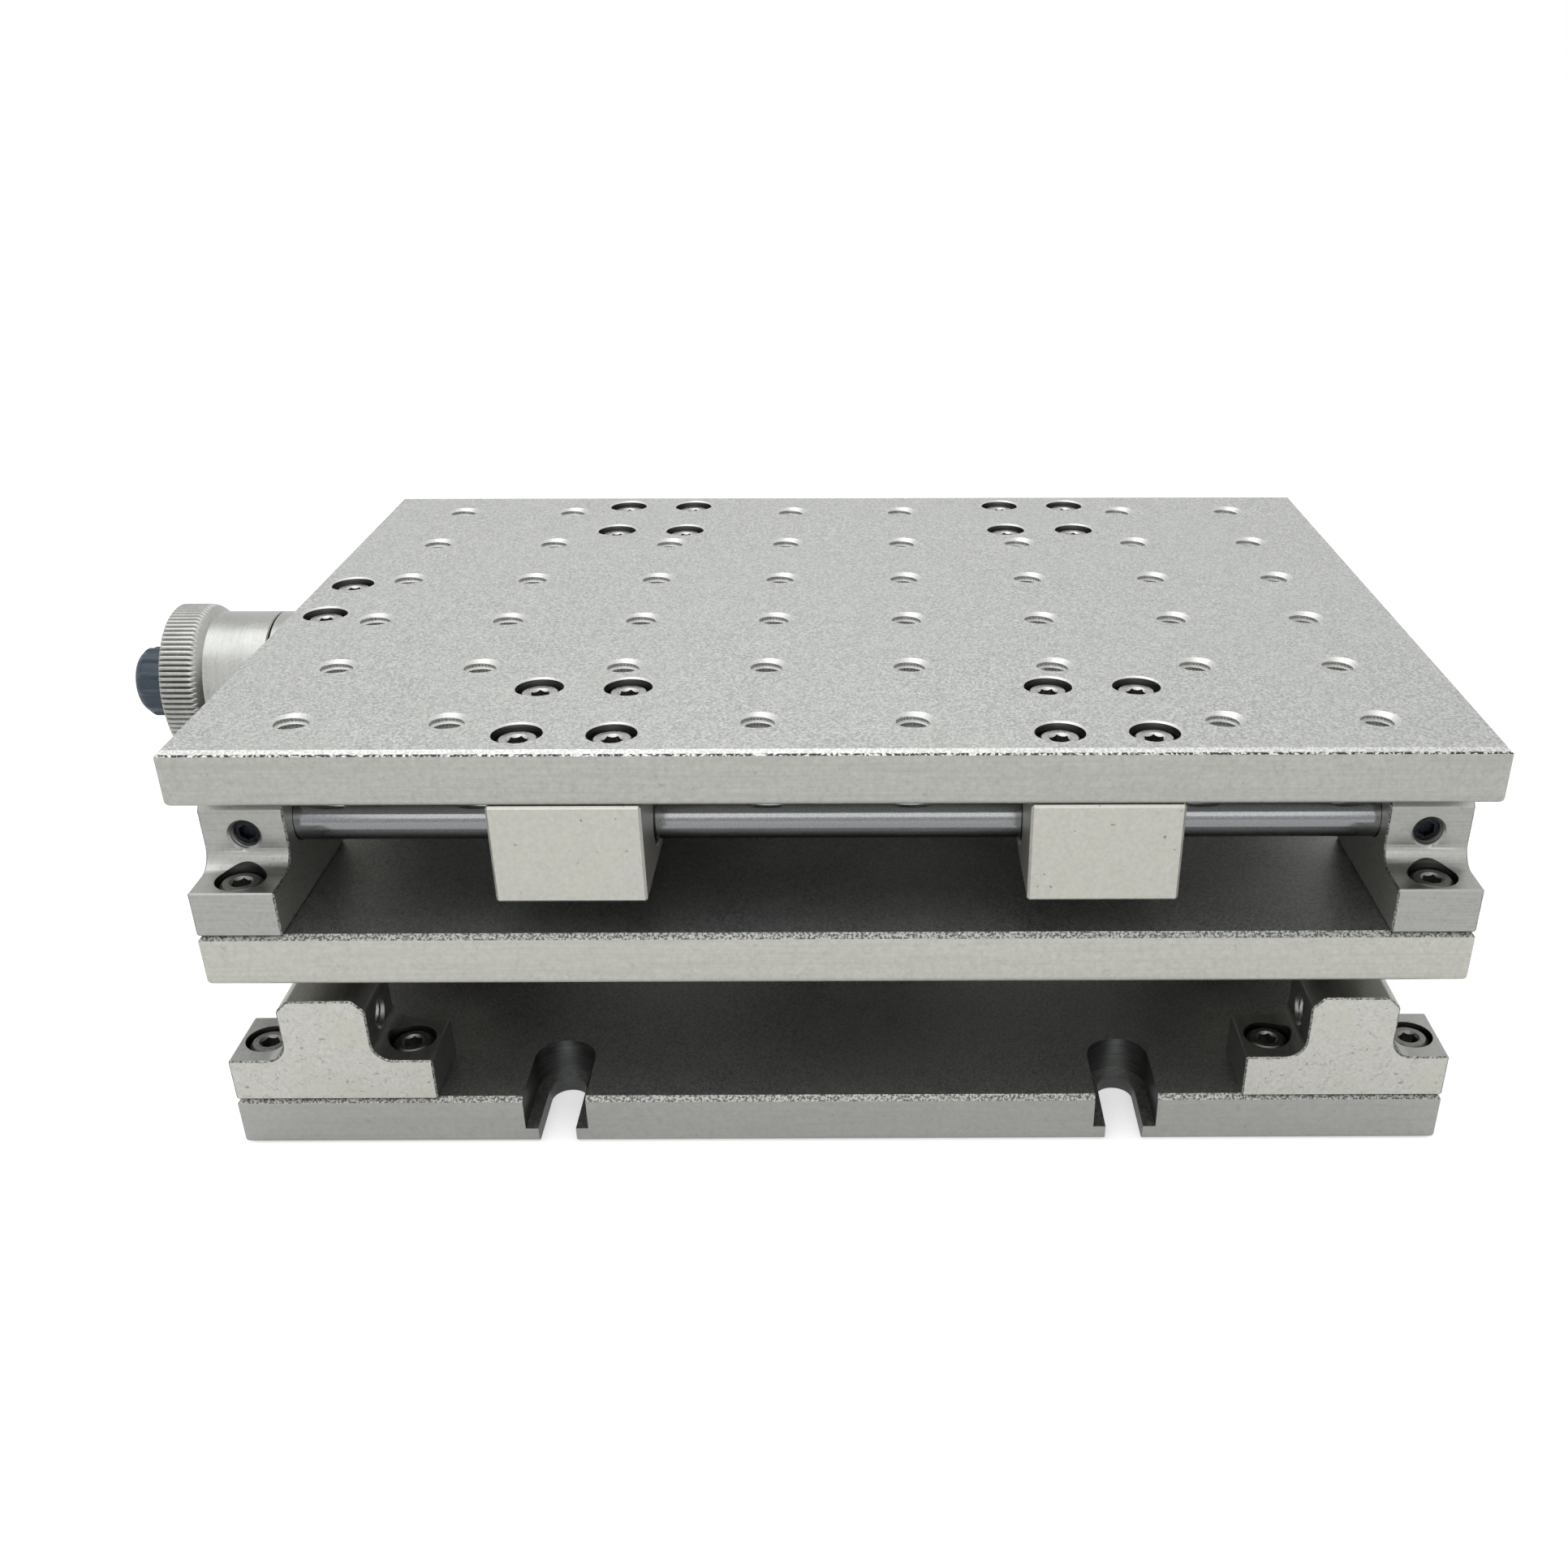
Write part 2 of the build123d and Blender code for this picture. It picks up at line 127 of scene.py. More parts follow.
# Shafts and the blocks on them
SHAFT_RADIUS = 4.0
SHAFT_HEIGHT = 13.5
SHAFT_BREAK = 0.5
SEAT_CLEARANCE = 0.02
RUNNING_CLEARANCE = 0.03
END_WALL = 3.0
FLANGE_THICKNESS = 8.0
NECK_FILLET = 3.5
NECK_FILLET_STEPS = 10
NECK_CHAMFER = 2.0
END_NECK_WIDTH = 15.0
NUT_NECK_WIDTH = 16.0
CUT_END_BREAK = 0.4
BEARING_BREAK = 0.4
BORE_BREAK = 0.3
BORE_FLARE = 0.8
BUSH_RADIUS = 5.03
BUSH_BREAK = 0.3

# Lead screws, nuts and brackets
LEAD_SCREW_RADIUS = 4.0
LEAD_SCREW_ROOT = 3.1
LEAD_SCREW_FLANK = 15
LEAD_SCREW_COLLAR = 2.0
LEAD_SCREW_RUN_IN = 0.5
THREAD_PITCH = 2.0
THREAD_STARTS = 2
JOURNAL_RADIUS = 3.0
WHEEL_SEAT_RADIUS = 2.5
SCREW_END_BREAK = 0.8
AXIAL_PLAY = 0.1
NUT_RADIUS = 5.5
NUT_CLEARANCE = 0.05
NUT_MOUTH = 0.3
NUT_BREAK = 0.2
BRACKET_LENGTH = 14.0
BRACKET_RADIUS = 2.0
SPIGOT_RADIUS = 8.0
SPINDLE_BUSH_RADIUS = 5.03
SPINDLE_FLANGE_RADIUS = 7.0
SPINDLE_FLANGE = 1.0

# Handwheels
SLEEVE_LENGTH = 5.4
SLEEVE_BREAK = 0.2
DIAL_GAP = 0.3
WHEEL_GAP = 0.5
WHEEL_LENGTH = 19.4
BARREL_BREAK = 0.2
RIM_WIDTH = 5.5
RIM_STEP = 1.5
RIM_TAPER = 2.3
# How full the taper is: at 1 it is straight
RIM_TAPER_FULLNESS = 1.6
RIM_TAPER_STEPS = 8
RIM_BREAK = 0.35
TOOTH_COUNT = 90
TOOTH_DEPTH = 0.6
# The part of each tooth's pitch that isn't cut away
TOOTH_LAND = 0.45
TOOTH_STEPS = 8
WHEEL_HUB_RADIUS = 6.0
FACE_RECESS_RADIUS = 11.5
FACE_RECESS_SLOPE = 0.3
FACE_RECESS = 0.5

# Clamp knobs. The half angle of a rib is in radians
KNOB_RADIUS = 6.4
KNOB_ROUND = 2.2
KNOB_ROUND_STEPS = 12
KNOB_RIBS = 12
KNOB_RIB_HEIGHT = 0.5
KNOB_RIB_HALF_ANGLE = 0.09
KNOB_RIB_STEPS = 24
# How fast a rib fades out in the round: at 1 it reaches the round's end
KNOB_RIB_FADE = 1.6

# The small break on sharp edges, so that they catch the light, and the angle between faces from
# which an edge is sharp: on most pieces, on threads, and where knurling or ribs fade out
SHARP_EDGE_BREAK = 0.12
SHARP_ANGLE = 32
THREAD_SHARP_ANGLE = 25
RIBBED_SHARP_ANGLE = 40

# How much of a face's normal lies along an axis: more than SQUARE where the face is square to the
# axis, more than LEANING where it leans that way, and less than ALONG where it runs along it
SQUARE = 0.9
LEANING = 0.3
ALONG = 0.1

# The finishes of a piece cut from plate or bar, in the order of its materials
FACE = 0
SIDE = 1
BREAK = 2
BORED = 3
MOUTH = 4
FINISHES = 5

# The finishes of a cap screw, after its plain one: the lead-in, pale as a painted highlight, and
# the socket's walls and the head's side, dark as painted shade
COINED = 1
PAINTED_SHADE = 2

# Turns that lay a shape made about +Z along X or Y
LAID = {"x": Matrix.Rotation(math.radians(90), 4, "Y"),
        "y": Matrix.Rotation(math.radians(-90), 4, "X")}

BODY_OF = {node_name: body for body, members in record["behaviour"]["bodies"].items()
           for node_name in members}


# Camera and light

def place_camera():
    """The photograph's camera, found from the grid of tapped holes."""
    data = bpy.data.cameras.new("camera")
    camera = bpy.data.objects.new("camera", data)
    camera.location = (0.00552, -0.30002, 0.17255)
    camera.rotation_euler = (math.radians(60.61), 0, math.radians(-0.38))
    data.sensor_width = 36
    data.lens = 36.36
    data.shift_x = -0.0617
    data.shift_y = 0.0840
    data.clip_start = 0.01
    data.clip_end = 20
    bpy.context.scene.collection.objects.link(camera)
    bpy.context.scene.camera = camera


def colour(code):
    """An sRGB hex colour as linear red, green, blue and alpha."""
    parts = [int(code[i:i + 2], 16) / 255 for i in (1, 3, 5)]
    linear = [c / 12.92 if c <= 0.04045 else ((c + 0.055) / 1.055) ** 2.4 for c in parts]
    return (*linear, 1.0)


def node(tree, kind, inputs=None, **settings):
    """Adds a node with its settings. An input is a value, a node or one of a node's outputs."""
    made = tree.nodes.new("ShaderNode" + kind)
    for name, value in settings.items():
        setattr(made, name, value)
    for name, value in (inputs or {}).items():
        if isinstance(value, bpy.types.Node):
            value = next(output for output in value.outputs if output.enabled)
        if isinstance(value, bpy.types.NodeSocket):
            tree.links.new(value, made.inputs[name])
        else:
            made.inputs[name].default_value = value
    return made


def empty_tree(owner):
    """The node tree of a new material or world, without the nodes that it starts with."""
    owner.use_nodes = True
    owner.node_tree.nodes.clear()
    return owner.node_tree


def seen_directly(tree):
    """1 where the camera, a mirror-like surface or glass looks at the surroundings."""
    path = node(tree, "LightPath").outputs
    either = node(tree, "Math", {0: path["Is Camera Ray"], 1: path["Is Glossy Ray"]},
                  operation="MAXIMUM")
    return node(tree, "Math", {0: either, 1: path["Is Transmission Ray"]}, operation="MAXIMUM")


def studio():
    """A pale floor, a pale world and soft lamps."""
    world = bpy.data.worlds.new("studio")
    tree = empty_tree(world)
    lit = node(tree, "Background", {"Color": colour("#FFFFFF"), "Strength": 0.8})
    seen = node(tree, "Background", {"Color": colour("#FFFFFF"), "Strength": 1.0})
    mix = node(tree, "MixShader", {0: seen_directly(tree), 1: lit, 2: seen})
    node(tree, "OutputWorld", {"Surface": mix})
    bpy.context.scene.world = world

    bm = bmesh.new()
    bmesh.ops.create_grid(bm, x_segments=1, y_segments=1, size=3.0)
    floor = loose_object("floor", bm)
    floor.location.z = cad_low.z - 0.2 * MM
    floor.data.materials.append(floor_paper())

    aim = Vector((0, 0, 0.03))
    for name, where, size, power in (
        ("rear softbox", (0.0, 0.45, 0.85), 0.5, 0.7),
        ("front softbox", (0.0, -0.45, 0.36), 0.5, 0.95),
        ("overhead softbox", (-0.2, -0.02, 0.75), 0.62, 2.0),
    ):
        data = bpy.data.lights.new(name, "AREA")
        data.shape = "SQUARE"
        data.size = size
        data.energy = power
        lamp = bpy.data.objects.new(name, data)
        lamp.location = where
        lamp.rotation_euler = (aim - Vector(where)).to_track_quat("-Z", "Y").to_euler()
        bpy.context.scene.collection.objects.link(lamp)


def floor_paper():
    """White paper under the object. It looks white and still takes a soft shadow."""
    material = bpy.data.materials.new("white_paper_matt")
    tree = empty_tree(material)
    paper = node(tree, "BsdfDiffuse", {"Color": colour("#E6E6E6")})
    camera = node(tree, "LightPath").outputs["Is Camera Ray"]
    strength = node(tree, "MapRange", {"Value": camera, "To Min": 0.12, "To Max": 0.45})
    glow = node(tree, "Emission", {"Color": colour("#FFFFFF"), "Strength": strength})
    bright = node(tree, "AddShader", {0: paper, 1: glow})
    mix = node(tree, "MixShader", {0: seen_directly(tree), 1: paper, 2: bright})
    node(tree, "OutputMaterial", {"Surface": mix})
    return material


# Materials

def per(size):
    """The scale of a pattern whose grains are that many millimetres."""
    return 1 / (size * MM)


def start_material(name, family="anodised_aluminium_"):
    """A new material of a family, its tree and the object's own coordinates in it."""
    material = bpy.data.materials.new(family + name)
    tree = empty_tree(material)
    return material, tree, node(tree, "TexCoord").outputs["Object"]


def overlay(tree, tone, code, pattern, start=0.0, full=1.0, most=1.0):
    """Lays a colour over a tone where a pattern is high. It starts to show at one value of the
    pattern and covers the tone in full, or by at most a share, at another."""
    share = node(tree, "MapRange", {"Value": pattern, "From Min": start, "From Max": full,
                                    "To Max": most})
    return node(tree, "Mix", {0: share, 6: tone, 7: colour(code)}, data_type="RGBA")


def finish(material, tone, grain, smooth, rough, relief=0.0, strength=0.5, metallic=1.0):
    """Gives a material its surface. The roughness follows the grain from smooth to rough, and the
    relief is how high the grain stands, in millimetres."""
    tree = material.node_tree
    gloss = node(tree, "MapRange", {"Value": grain, "From Min": 0.3, "From Max": 0.7,
                                    "To Min": smooth, "To Max": rough})
    inputs = {"Base Color": tone, "Roughness": gloss, "Metallic": metallic}
    if relief:
        inputs["Normal"] = node(tree, "Bump", {"Height": grain, "Distance": relief * MM,
                                               "Strength": strength})
    node(tree, "OutputMaterial", {"Surface": node(tree, "BsdfPrincipled", inputs)})
    return material


def fine_lines(tree, spot, stretch, size, detail):
    """The marks of a tool or a die: a noise that is drawn out by a stretch along each axis."""
    drawn_out = node(tree, "Mapping", {"Vector": spot, "Scale": [1 / part for part in stretch]})
    return node(tree, "TexNoise", {"Vector": drawn_out, "Scale": per(size), "Detail": detail})


def scuffs(tree, spot, size, width, share):
    """Short curved marks: a contour of one noise, kept where another one is high."""
    waves = node(tree, "TexNoise", {"Vector": spot, "Scale": per(size), "Detail": 1.0})
    offset = node(tree, "Math", {0: waves, 1: 0.5}, operation="SUBTRACT")
    line = node(tree, "Math", {0: offset}, operation="ABSOLUTE")
    thin = node(tree, "MapRange", {"Value": line, "From Max": width, "To Min": 1.0, "To Max": 0.0})
    chance = node(tree, "TexNoise", {"Vector": spot, "Scale": per(size * 1.3), "Detail": 0.0})
    kept = node(tree, "MapRange", {"Value": chance, "From Min": share, "From Max": share + 0.06})
    return node(tree, "Math", {0: thin, 1: kept}, operation="MULTIPLY")


def blasted_aluminium(name, dark, light):
    """Bead-blasted, clear anodised plate: satin, with a fine sparkling grain. The real grain is
    about 0.1 mm and is drawn at 0.4 mm, so that it shows."""
    material, tree, spot = start_material(name)
    grain = node(tree, "TexNoise", {"Vector": spot, "Scale": per(0.4), "Detail": 2.0,
                                    "Roughness": 0.7})
    cloud = node(tree, "TexNoise", {"Vector": spot, "Scale": per(22), "Detail": 2.0})
    tone = overlay(tree, colour(dark), light, grain, 0.36, 0.64)
    tone = overlay(tree, tone, "#B2B4AF", cloud, 0.35, 0.65, 0.25)
    return finish(material, tone, grain, 0.4, 0.54, relief=0.03, strength=0.6)


def blasted_chamfer(name, dark, light, edge=None):
    """Broken edges, blasted with the faces: they catch the grain's light and dark sides. The grain
    is drawn at 0.42 mm, so that it shows. With an edge, a height in metres at the chamfer's foot,
    a broken dark line runs along the chamfer just above it."""
    material, tree, spot = start_material(name)
    grain = node(tree, "TexNoise", {"Vector": spot, "Scale": per(0.42), "Detail": 2.0,
                                    "Roughness": 0.7})
    tone = overlay(tree, colour(dark), light, grain, 0.42, 0.58)
    if edge is not None:
        height = node(tree, "SeparateXYZ", {"Vector": spot}).outputs["Z"]
        near = node(tree, "MapRange", {"Value": height, "From Min": edge + 0.24 * MM,
                                       "From Max": edge + 0.34 * MM, "To Min": 1.0, "To Max": 0.0})
        broken = node(tree, "TexNoise", {"Vector": spot, "Scale": per(0.5), "Detail": 1.0})
        share = node(tree, "MapRange", {"Value": broken, "From Min": 0.4, "From Max": 0.55})
        dark_line = node(tree, "Math", {0: near, 1: share}, operation="MULTIPLY")
        tone = overlay(tree, tone, "#3A3B39", dark_line)
    return finish(material, tone, grain, 0.36, 0.52, relief=0.035, strength=0.8)


def shaded_bored_aluminium():
    """Walls of counterbores and slots, anodised but not blasted, with faint tool rings. Their dark
    tone is painted shade in the recesses.
    """
    material, tree, spot = start_material("bored")
    rings = fine_lines(tree, spot, (12, 12, 1), 0.4, 2.0)
    tone = overlay(tree, colour("#5F6160"), "#717371", rings, 0.35, 0.65)
    return finish(material, tone, rings, 0.3, 0.42)


def milled_aluminium(name, dark, light):
    """Milled plate edge, etched and anodised: faint lines along it and a few small marks."""
    material, tree, spot = start_material(name)
    lines = fine_lines(tree, spot, (50, 50, 1), 0.45, 3.0)
    skin = node(tree, "TexNoise", {"Vector": spot, "Scale": per(0.9), "Detail": 4.0,
                                   "Roughness": 0.7})
    tone = overlay(tree, colour(dark), light, skin, 0.3, 0.7)
    tone = overlay(tree, tone, dark, lines, 0.45, 0.7, 0.5)
    tone = overlay(tree, tone, "#70706B", scuffs(tree, spot, 1.6, 0.014, 0.58), most=0.35)
    return finish(material, tone, skin, 0.38, 0.5, relief=0.01, strength=0.4)


def drawn_aluminium(name, stretch):
    """The blocks' drawn faces, anodised: smooth, with faint lines along the bar."""
    material, tree, spot = start_material(name)
    lines = fine_lines(tree, spot, stretch, 0.3, 3.0)
    skin = node(tree, "TexNoise", {"Vector": spot, "Scale": per(0.8), "Detail": 3.0,
                                   "Roughness": 0.7})
    tone = overlay(tree, colour("#969793"), "#A1A29E", lines, 0.35, 0.65)
    tone = overlay(tree, tone, "#A8A9A5", skin, 0.4, 0.7, 0.6)
    tone = overlay(tree, tone, "#6C6C68", scuffs(tree, spot, 1.4, 0.016, 0.58), most=0.45)
    return finish(material, tone, lines, 0.3, 0.4, relief=0.01, strength=0.4)


def sawn_aluminium():
    """The cut ends of the blocks, etched and anodised: a pale matt skin, tinted in patches, with
    many small dark scuffs and a few pits."""
    material, tree, spot = start_material("sawn_and_etched")
    skin = node(tree, "TexNoise", {"Vector": spot, "Scale": per(0.7), "Detail": 4.0,
                                   "Roughness": 0.75})
    patch = node(tree, "TexNoise", {"Vector": spot, "Scale": per(6), "Detail": 2.0})
    pits = node(tree, "TexNoise", {"Vector": spot, "Scale": per(0.9), "Detail": 0.0})
    pit = node(tree, "MapRange", {"Value": pits, "From Min": 0.79, "From Max": 0.83})
    worn = node(tree, "Math", {0: scuffs(tree, spot, 1.2, 0.022, 0.5), 1: pit}, operation="MAXIMUM")
    tone = overlay(tree, colour("#B5B4AF"), "#C8C7C2", skin, 0.35, 0.65)
    tone = overlay(tree, tone, "#BBBBAE", patch, 0.45, 0.7, 0.5)
    tone = overlay(tree, tone, "#6E6E69", worn, most=0.5)
    return finish(material, tone, skin, 0.4, 0.52, relief=0.01)


def bearing_aluminium():
    """Milled bearing blocks, matt anodised: even, faintly tinted, with a few pin marks."""
    material, tree, spot = start_material("matt")
    cloud = node(tree, "TexNoise", {"Vector": spot, "Scale": per(5), "Detail": 3.0})
    skin = node(tree, "TexNoise", {"Vector": spot, "Scale": per(0.8), "Detail": 4.0,
                                   "Roughness": 0.7})
    pits = node(tree, "TexNoise", {"Vector": spot, "Scale": per(1.1), "Detail": 0.0})
    tone = overlay(tree, colour("#AEADA8"), "#B1B1A6", cloud, 0.35, 0.65)
    tone = overlay(tree, tone, "#C3C1BB", skin, 0.3, 0.7, 0.8)
    tone = overlay(tree, tone, "#6A6A66", pits, 0.8, 0.84, 0.7)
    tone = overlay(tree, tone, "#77776F", scuffs(tree, spot, 2.4, 0.01, 0.62), most=0.3)
    return finish(material, tone, skin, 0.42, 0.5)


def turned_aluminium(name, stretch):
    """Turned handwheel, etched and anodised: satin, with faint turning marks round it."""
    material, tree, spot = start_material(name)
    lines = fine_lines(tree, spot, stretch, 0.25, 2.0)
    skin = node(tree, "TexNoise", {"Vector": spot, "Scale": per(0.5), "Detail": 4.0,
                                   "Roughness": 0.6})
    cloud = node(tree, "TexNoise", {"Vector": spot, "Scale": per(5), "Detail": 2.0})
    tone = overlay(tree, colour("#A0A19E"), "#AEAFAB", skin, 0.35, 0.65)
    tone = overlay(tree, tone, "#92938F", lines, 0.4, 0.7, 0.4)
    tone = overlay(tree, tone, "#8D8E8A", cloud, 0.45, 0.7, 0.3)
    return finish(material, tone, skin, 0.31, 0.39, relief=0.008, strength=0.4)


def even_finish(name, size, dark, light, smooth, rough, relief=0.0, metallic=1.0):
    """A finish whose grain, in millimetres, runs between two colours and two roughnesses."""
    material, tree, spot = start_material(name, family="")
    skin = node(tree, "TexNoise", {"Vector": spot, "Scale": per(size), "Detail": 3.0})
    tone = overlay(tree, colour(dark), light, skin, 0.35, 0.65)
    return finish(material, tone, skin, smooth, rough, relief, metallic=metallic)


# Mesh helpers

def bevel(bm, edges, width, segments=1):
    """Breaks these edges by a width. One segment is a chamfer, more are a round."""
    bmesh.ops.bevel(bm, geom=edges, offset=width * MM, offset_type="OFFSET", segments=segments,
                    profile=0.5, affect="EDGES", clamp_overlap=True, material=-1)


def edges_at(bm, test):
    """The edges whose two ends both pass a test of their place."""
    return [e for e in bm.edges if all(test(v.co) for v in e.verts)]


def runs_along(edge, axis, least):
    """Whether an edge reaches further than a length in metres along an axis."""
    return abs(edge.verts[0].co[axis] - edge.verts[1].co[axis]) > least


def moved(bm, matrix):
    """A shape, turned and moved by a matrix."""
    bmesh.ops.transform(bm, matrix=matrix, verts=bm.verts)
    return bm


def place(x, y, z, turn=0.0, axis="Z"):
    """A matrix that turns about an axis and then moves to a place in metres."""
    return Matrix.Translation((x, y, z)) @ Matrix.Rotation(math.radians(turn), 4, axis)


def block(low, high):
    """A plain block between two corners, in metres."""
    low, high = Vector(low), Vector(high)
    bm = bmesh.new()
    size = Matrix.Diagonal((*(high - low), 1))
    bmesh.ops.create_cube(bm, size=1.0, matrix=Matrix.Translation((low + high) / 2) @ size)
    return bm


def lathe(profile, steps=64, closed=False):
    """A shape turned about Z from (radius, height) points."""
    bm = bmesh.new()
    verts = [bm.verts.new((r * MM, 0, z * MM)) for r, z in profile]
    ring = verts + verts[:1] if closed else verts
    edges = [bm.edges.new(pair) for pair in zip(ring, ring[1:])]
    bmesh.ops.spin(bm, geom=verts + edges, cent=(0, 0, 0), axis=(0, 0, 1), angle=TURN,
                   steps=steps, use_merge=True)
    bmesh.ops.remove_doubles(bm, verts=bm.verts, dist=1e-7)
    bmesh.ops.recalc_face_normals(bm, faces=bm.faces)
    return bm


def rod(radius, start, end, steps=64):
    """A plain turned cutter between two heights."""
    return lathe([(0, start), (radius, start), (radius, end), (0, end)], steps)


def cut_above(bm, height, side=1):
    """Cuts a shape flat at a height and drops what is above it, or below it where side is -1."""
    parts = bm.verts[:] + bm.edges[:] + bm.faces[:]
    bmesh.ops.bisect_plane(bm, geom=parts, plane_co=(0, 0, height), plane_no=(0, 0, side),
                           clear_outer=True)


def helix(profile, lead, length, steps=32):
    """A right-hand thread about Z. The profile covers one lead and the ends are cut flat."""
    bm = bmesh.new()
    verts = [bm.verts.new((r * MM, 0, (z - lead) * MM)) for r, z in profile]
    edges = [bm.edges.new(pair) for pair in zip(verts, verts[1:])]
    turns = math.ceil(length / lead) + 1
    bmesh.ops.spin(bm, geom=verts + edges, cent=(0, 0, 0), axis=(0, 0, 1), angle=TURN * turns,
                   steps=steps * turns, dvec=(0, 0, lead * MM / steps))
    bmesh.ops.remove_doubles(bm, verts=bm.verts, dist=1e-6)
    cut_above(bm, 0.0, -1)
    cut_above(bm, length * MM)
    return bm


def hex_key(across, depth):
    """A six-sided cutter that reaches down from height nothing."""
    bm = bmesh.new()
    radius = across / math.sqrt(3) * MM
    bmesh.ops.create_cone(bm, cap_ends=True, segments=6, radius1=radius, radius2=radius,
                          depth=(depth + PROUD) * MM, matrix=place(0, 0, (PROUD - depth) / 2 * MM))
    return bm


def repeat(bm, places, onto=None):
    """Copies of a shape at places that matrices give, as one shape or added to another."""
    one = bpy.data.meshes.new("one")
    bm.to_mesh(one)
    bm.free()
    out = onto or bmesh.new()
    for where in places:
        before = len(out.verts)
        out.from_mesh(one)
        out.verts.ensure_lookup_table()
        bmesh.ops.transform(out, matrix=where, verts=out.verts[before:])
    bpy.data.meshes.remove(one)
    return out


def join(first, second):
    """Two shapes as one."""
    return repeat(second, [Matrix()], onto=first)


def loose_object(name, bm):
    """An object from a shape, linked to the scene."""
    mesh = bpy.data.meshes.new(name)
    bm.to_mesh(mesh)
    bm.free()
    made = bpy.data.objects.new(name, mesh)
    bpy.context.scene.collection.objects.link(made)
    return made


def combine(body, tool, operation):
    """A boolean of two shapes. The cut faces keep the finish that the tool's faces have."""
    target = loose_object("body", body)
    other = loose_object("tool", tool)
    for made in (target, other):
        for _ in range(FINISHES):
            made.data.materials.append(None)
    modifier = target.modifiers.new("boolean", "BOOLEAN")
    modifier.operation = operation
    modifier.solver = "MANIFOLD"
    modifier.object = other
    graph = bpy.context.evaluated_depsgraph_get()
    mesh = bpy.data.meshes.new_from_object(target.evaluated_get(graph))
    out = bmesh.new()
    out.from_mesh(mesh)
    for old in (target, other):
        data = old.data
        bpy.data.objects.remove(old)
        bpy.data.meshes.remove(data)
    bpy.data.meshes.remove(mesh)
    return out


def carve(body, *tools):
    """A shape with other shapes cut out of it in turn."""
    for tool in tools:
        body = combine(body, tool, "DIFFERENCE")
    return body


def bored(bm):
    """Marks a cutter's walls, so that what it cuts is finished as a bored wall or its mouth."""
    for face in bm.faces:
        slope = abs(face.normal.z)
        face.material_index = BORED if slope < LEANING else MOUTH if slope < SQUARE else FACE
    return bm


def dressed(name, bm, materials, carrier):
    """A smooth object with its materials, on the body of a solid."""
    made = loose_object(name, bm)
    made.data.shade_smooth()
    for material in materials:
        made.data.materials.append(material)
    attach(made, BODY_OF[carrier])
    return made


def piece(bm, node_name, materials, where=None, edge_break=False, sharp=SHARP_ANGLE):
    """Finishes a shape as the piece that stands for a solid."""
    if where is not None:
        moved(bm, where)
    made = dressed(node_name + "_finished", bm, materials, node_name)
    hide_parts(node_name)
    made.data.set_sharp_from_angle(angle=math.radians(sharp))
    if edge_break:
        modifier = made.modifiers.new("edge break", "BEVEL")
        modifier.width = SHARP_EDGE_BREAK * MM
        modifier.segments = 1
        modifier.limit_method = "ANGLE"
        modifier.angle_limit = math.radians(sharp)
        modifier.harden_normals = True
        modifier.material = BREAK if len(materials) > BREAK else -1


def centre_of(node_name):
    """The middle of a solid's box."""
    low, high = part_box(node_name)
    return (low + high) / 2


def sizes_of(node_name):
    """A solid's sizes along and across the guides that the first letter of its name gives."""
    low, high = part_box(node_name)
    along_x, along_y = (high.x - low.x) / MM, (high.y - low.y) / MM
    return (along_x, along_y) if node_name[0] == "x" else (along_y, along_x)


def height_of(node_name):
    """A solid's height, which is its diameter where it is round and lies along X or Y."""
    low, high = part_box(node_name)
    return (high.z - low.z) / MM


def solids_in(node_name):
    """The boxes of the separate solids in a node that groups several."""
    bm = bmesh.new()
    bm.from_mesh(frame["nodes"][node_name].data)
    bmesh.ops.remove_doubles(bm, verts=bm.verts, dist=1e-6)
    left = set(bm.verts)
    boxes = []
    while left:
        queue = [left.pop()]
        found = []
        while queue:
            vert = queue.pop()
            found.append(vert.co.copy())
            for edge in vert.link_edges:
                other = edge.other_vert(vert)
                if other in left:
                    left.remove(other)
                    queue.append(other)
        boxes.append([Vector([pick(p[i] for p in found) for i in range(3)]) for pick in (min, max)])
    bm.free()
    return sorted(boxes, key=lambda b: tuple(b[0]))


# Screws and threads

def cap_screw(length):
    """A socket cap screw pointing down, with the underside of its head at height nothing."""
    top = HEAD_HEIGHT
    body = lathe([(0, -length), (SCREW_RADIUS - SCREW_POINT, -length),
                  (SCREW_RADIUS, -length + SCREW_POINT), (SCREW_RADIUS, 0), (HEAD_RADIUS, 0),
                  (HEAD_RADIUS, top - HEAD_BREAK), (HEAD_RADIUS - HEAD_BREAK, top), (0, top)],
                 steps=48)
    lead_in = lathe([(0, top - LEAD_IN), (HEX_ACROSS / 2, top - LEAD_IN),
                     (HEX_ACROSS / 2 + LEAD_IN + LEAD_IN_PROUD, top + LEAD_IN_PROUD),
                     (0, top + LEAD_IN_PROUD)], steps=24)
    socket = moved(hex_key(HEX_ACROSS, HEX_DEPTH), place(0, 0, top * MM))
    # The head's side takes the dark finish, painted shade, as the socket's walls do
    for face in body.faces:
        if face.normal.xy.length > LEANING and face.calc_center_median().z > 0:
            face.material_index = PAINTED_SHADE
    for face in lead_in.faces:
        face.material_index = COINED
    for face in socket.faces:
        face.material_index = PAINTED_SHADE
    return carve(body, socket, lead_in)


def screw_pocket(depth, below):
    """A cutter for a cap screw's pocket, from the surface at height nothing down."""
    return bored(lathe([(0, -below), (SHANK_HOLE_RADIUS, -below), (SHANK_HOLE_RADIUS, -depth),
                        (POCKET_RADIUS, -depth), (POCKET_RADIUS, -POCKET_BREAK),
                        (POCKET_RADIUS + POCKET_BREAK + PROUD, PROUD), (0, PROUD)]))


def tapped_hole(radius, mouth, depth):
    """A cutter for a tapped hole with a countersunk mouth at height nothing."""
    return bored(lathe([(0, -depth), (radius, -depth), (radius, radius - mouth),
                        (mouth + PROUD, PROUD), (0, PROUD)], steps=48))


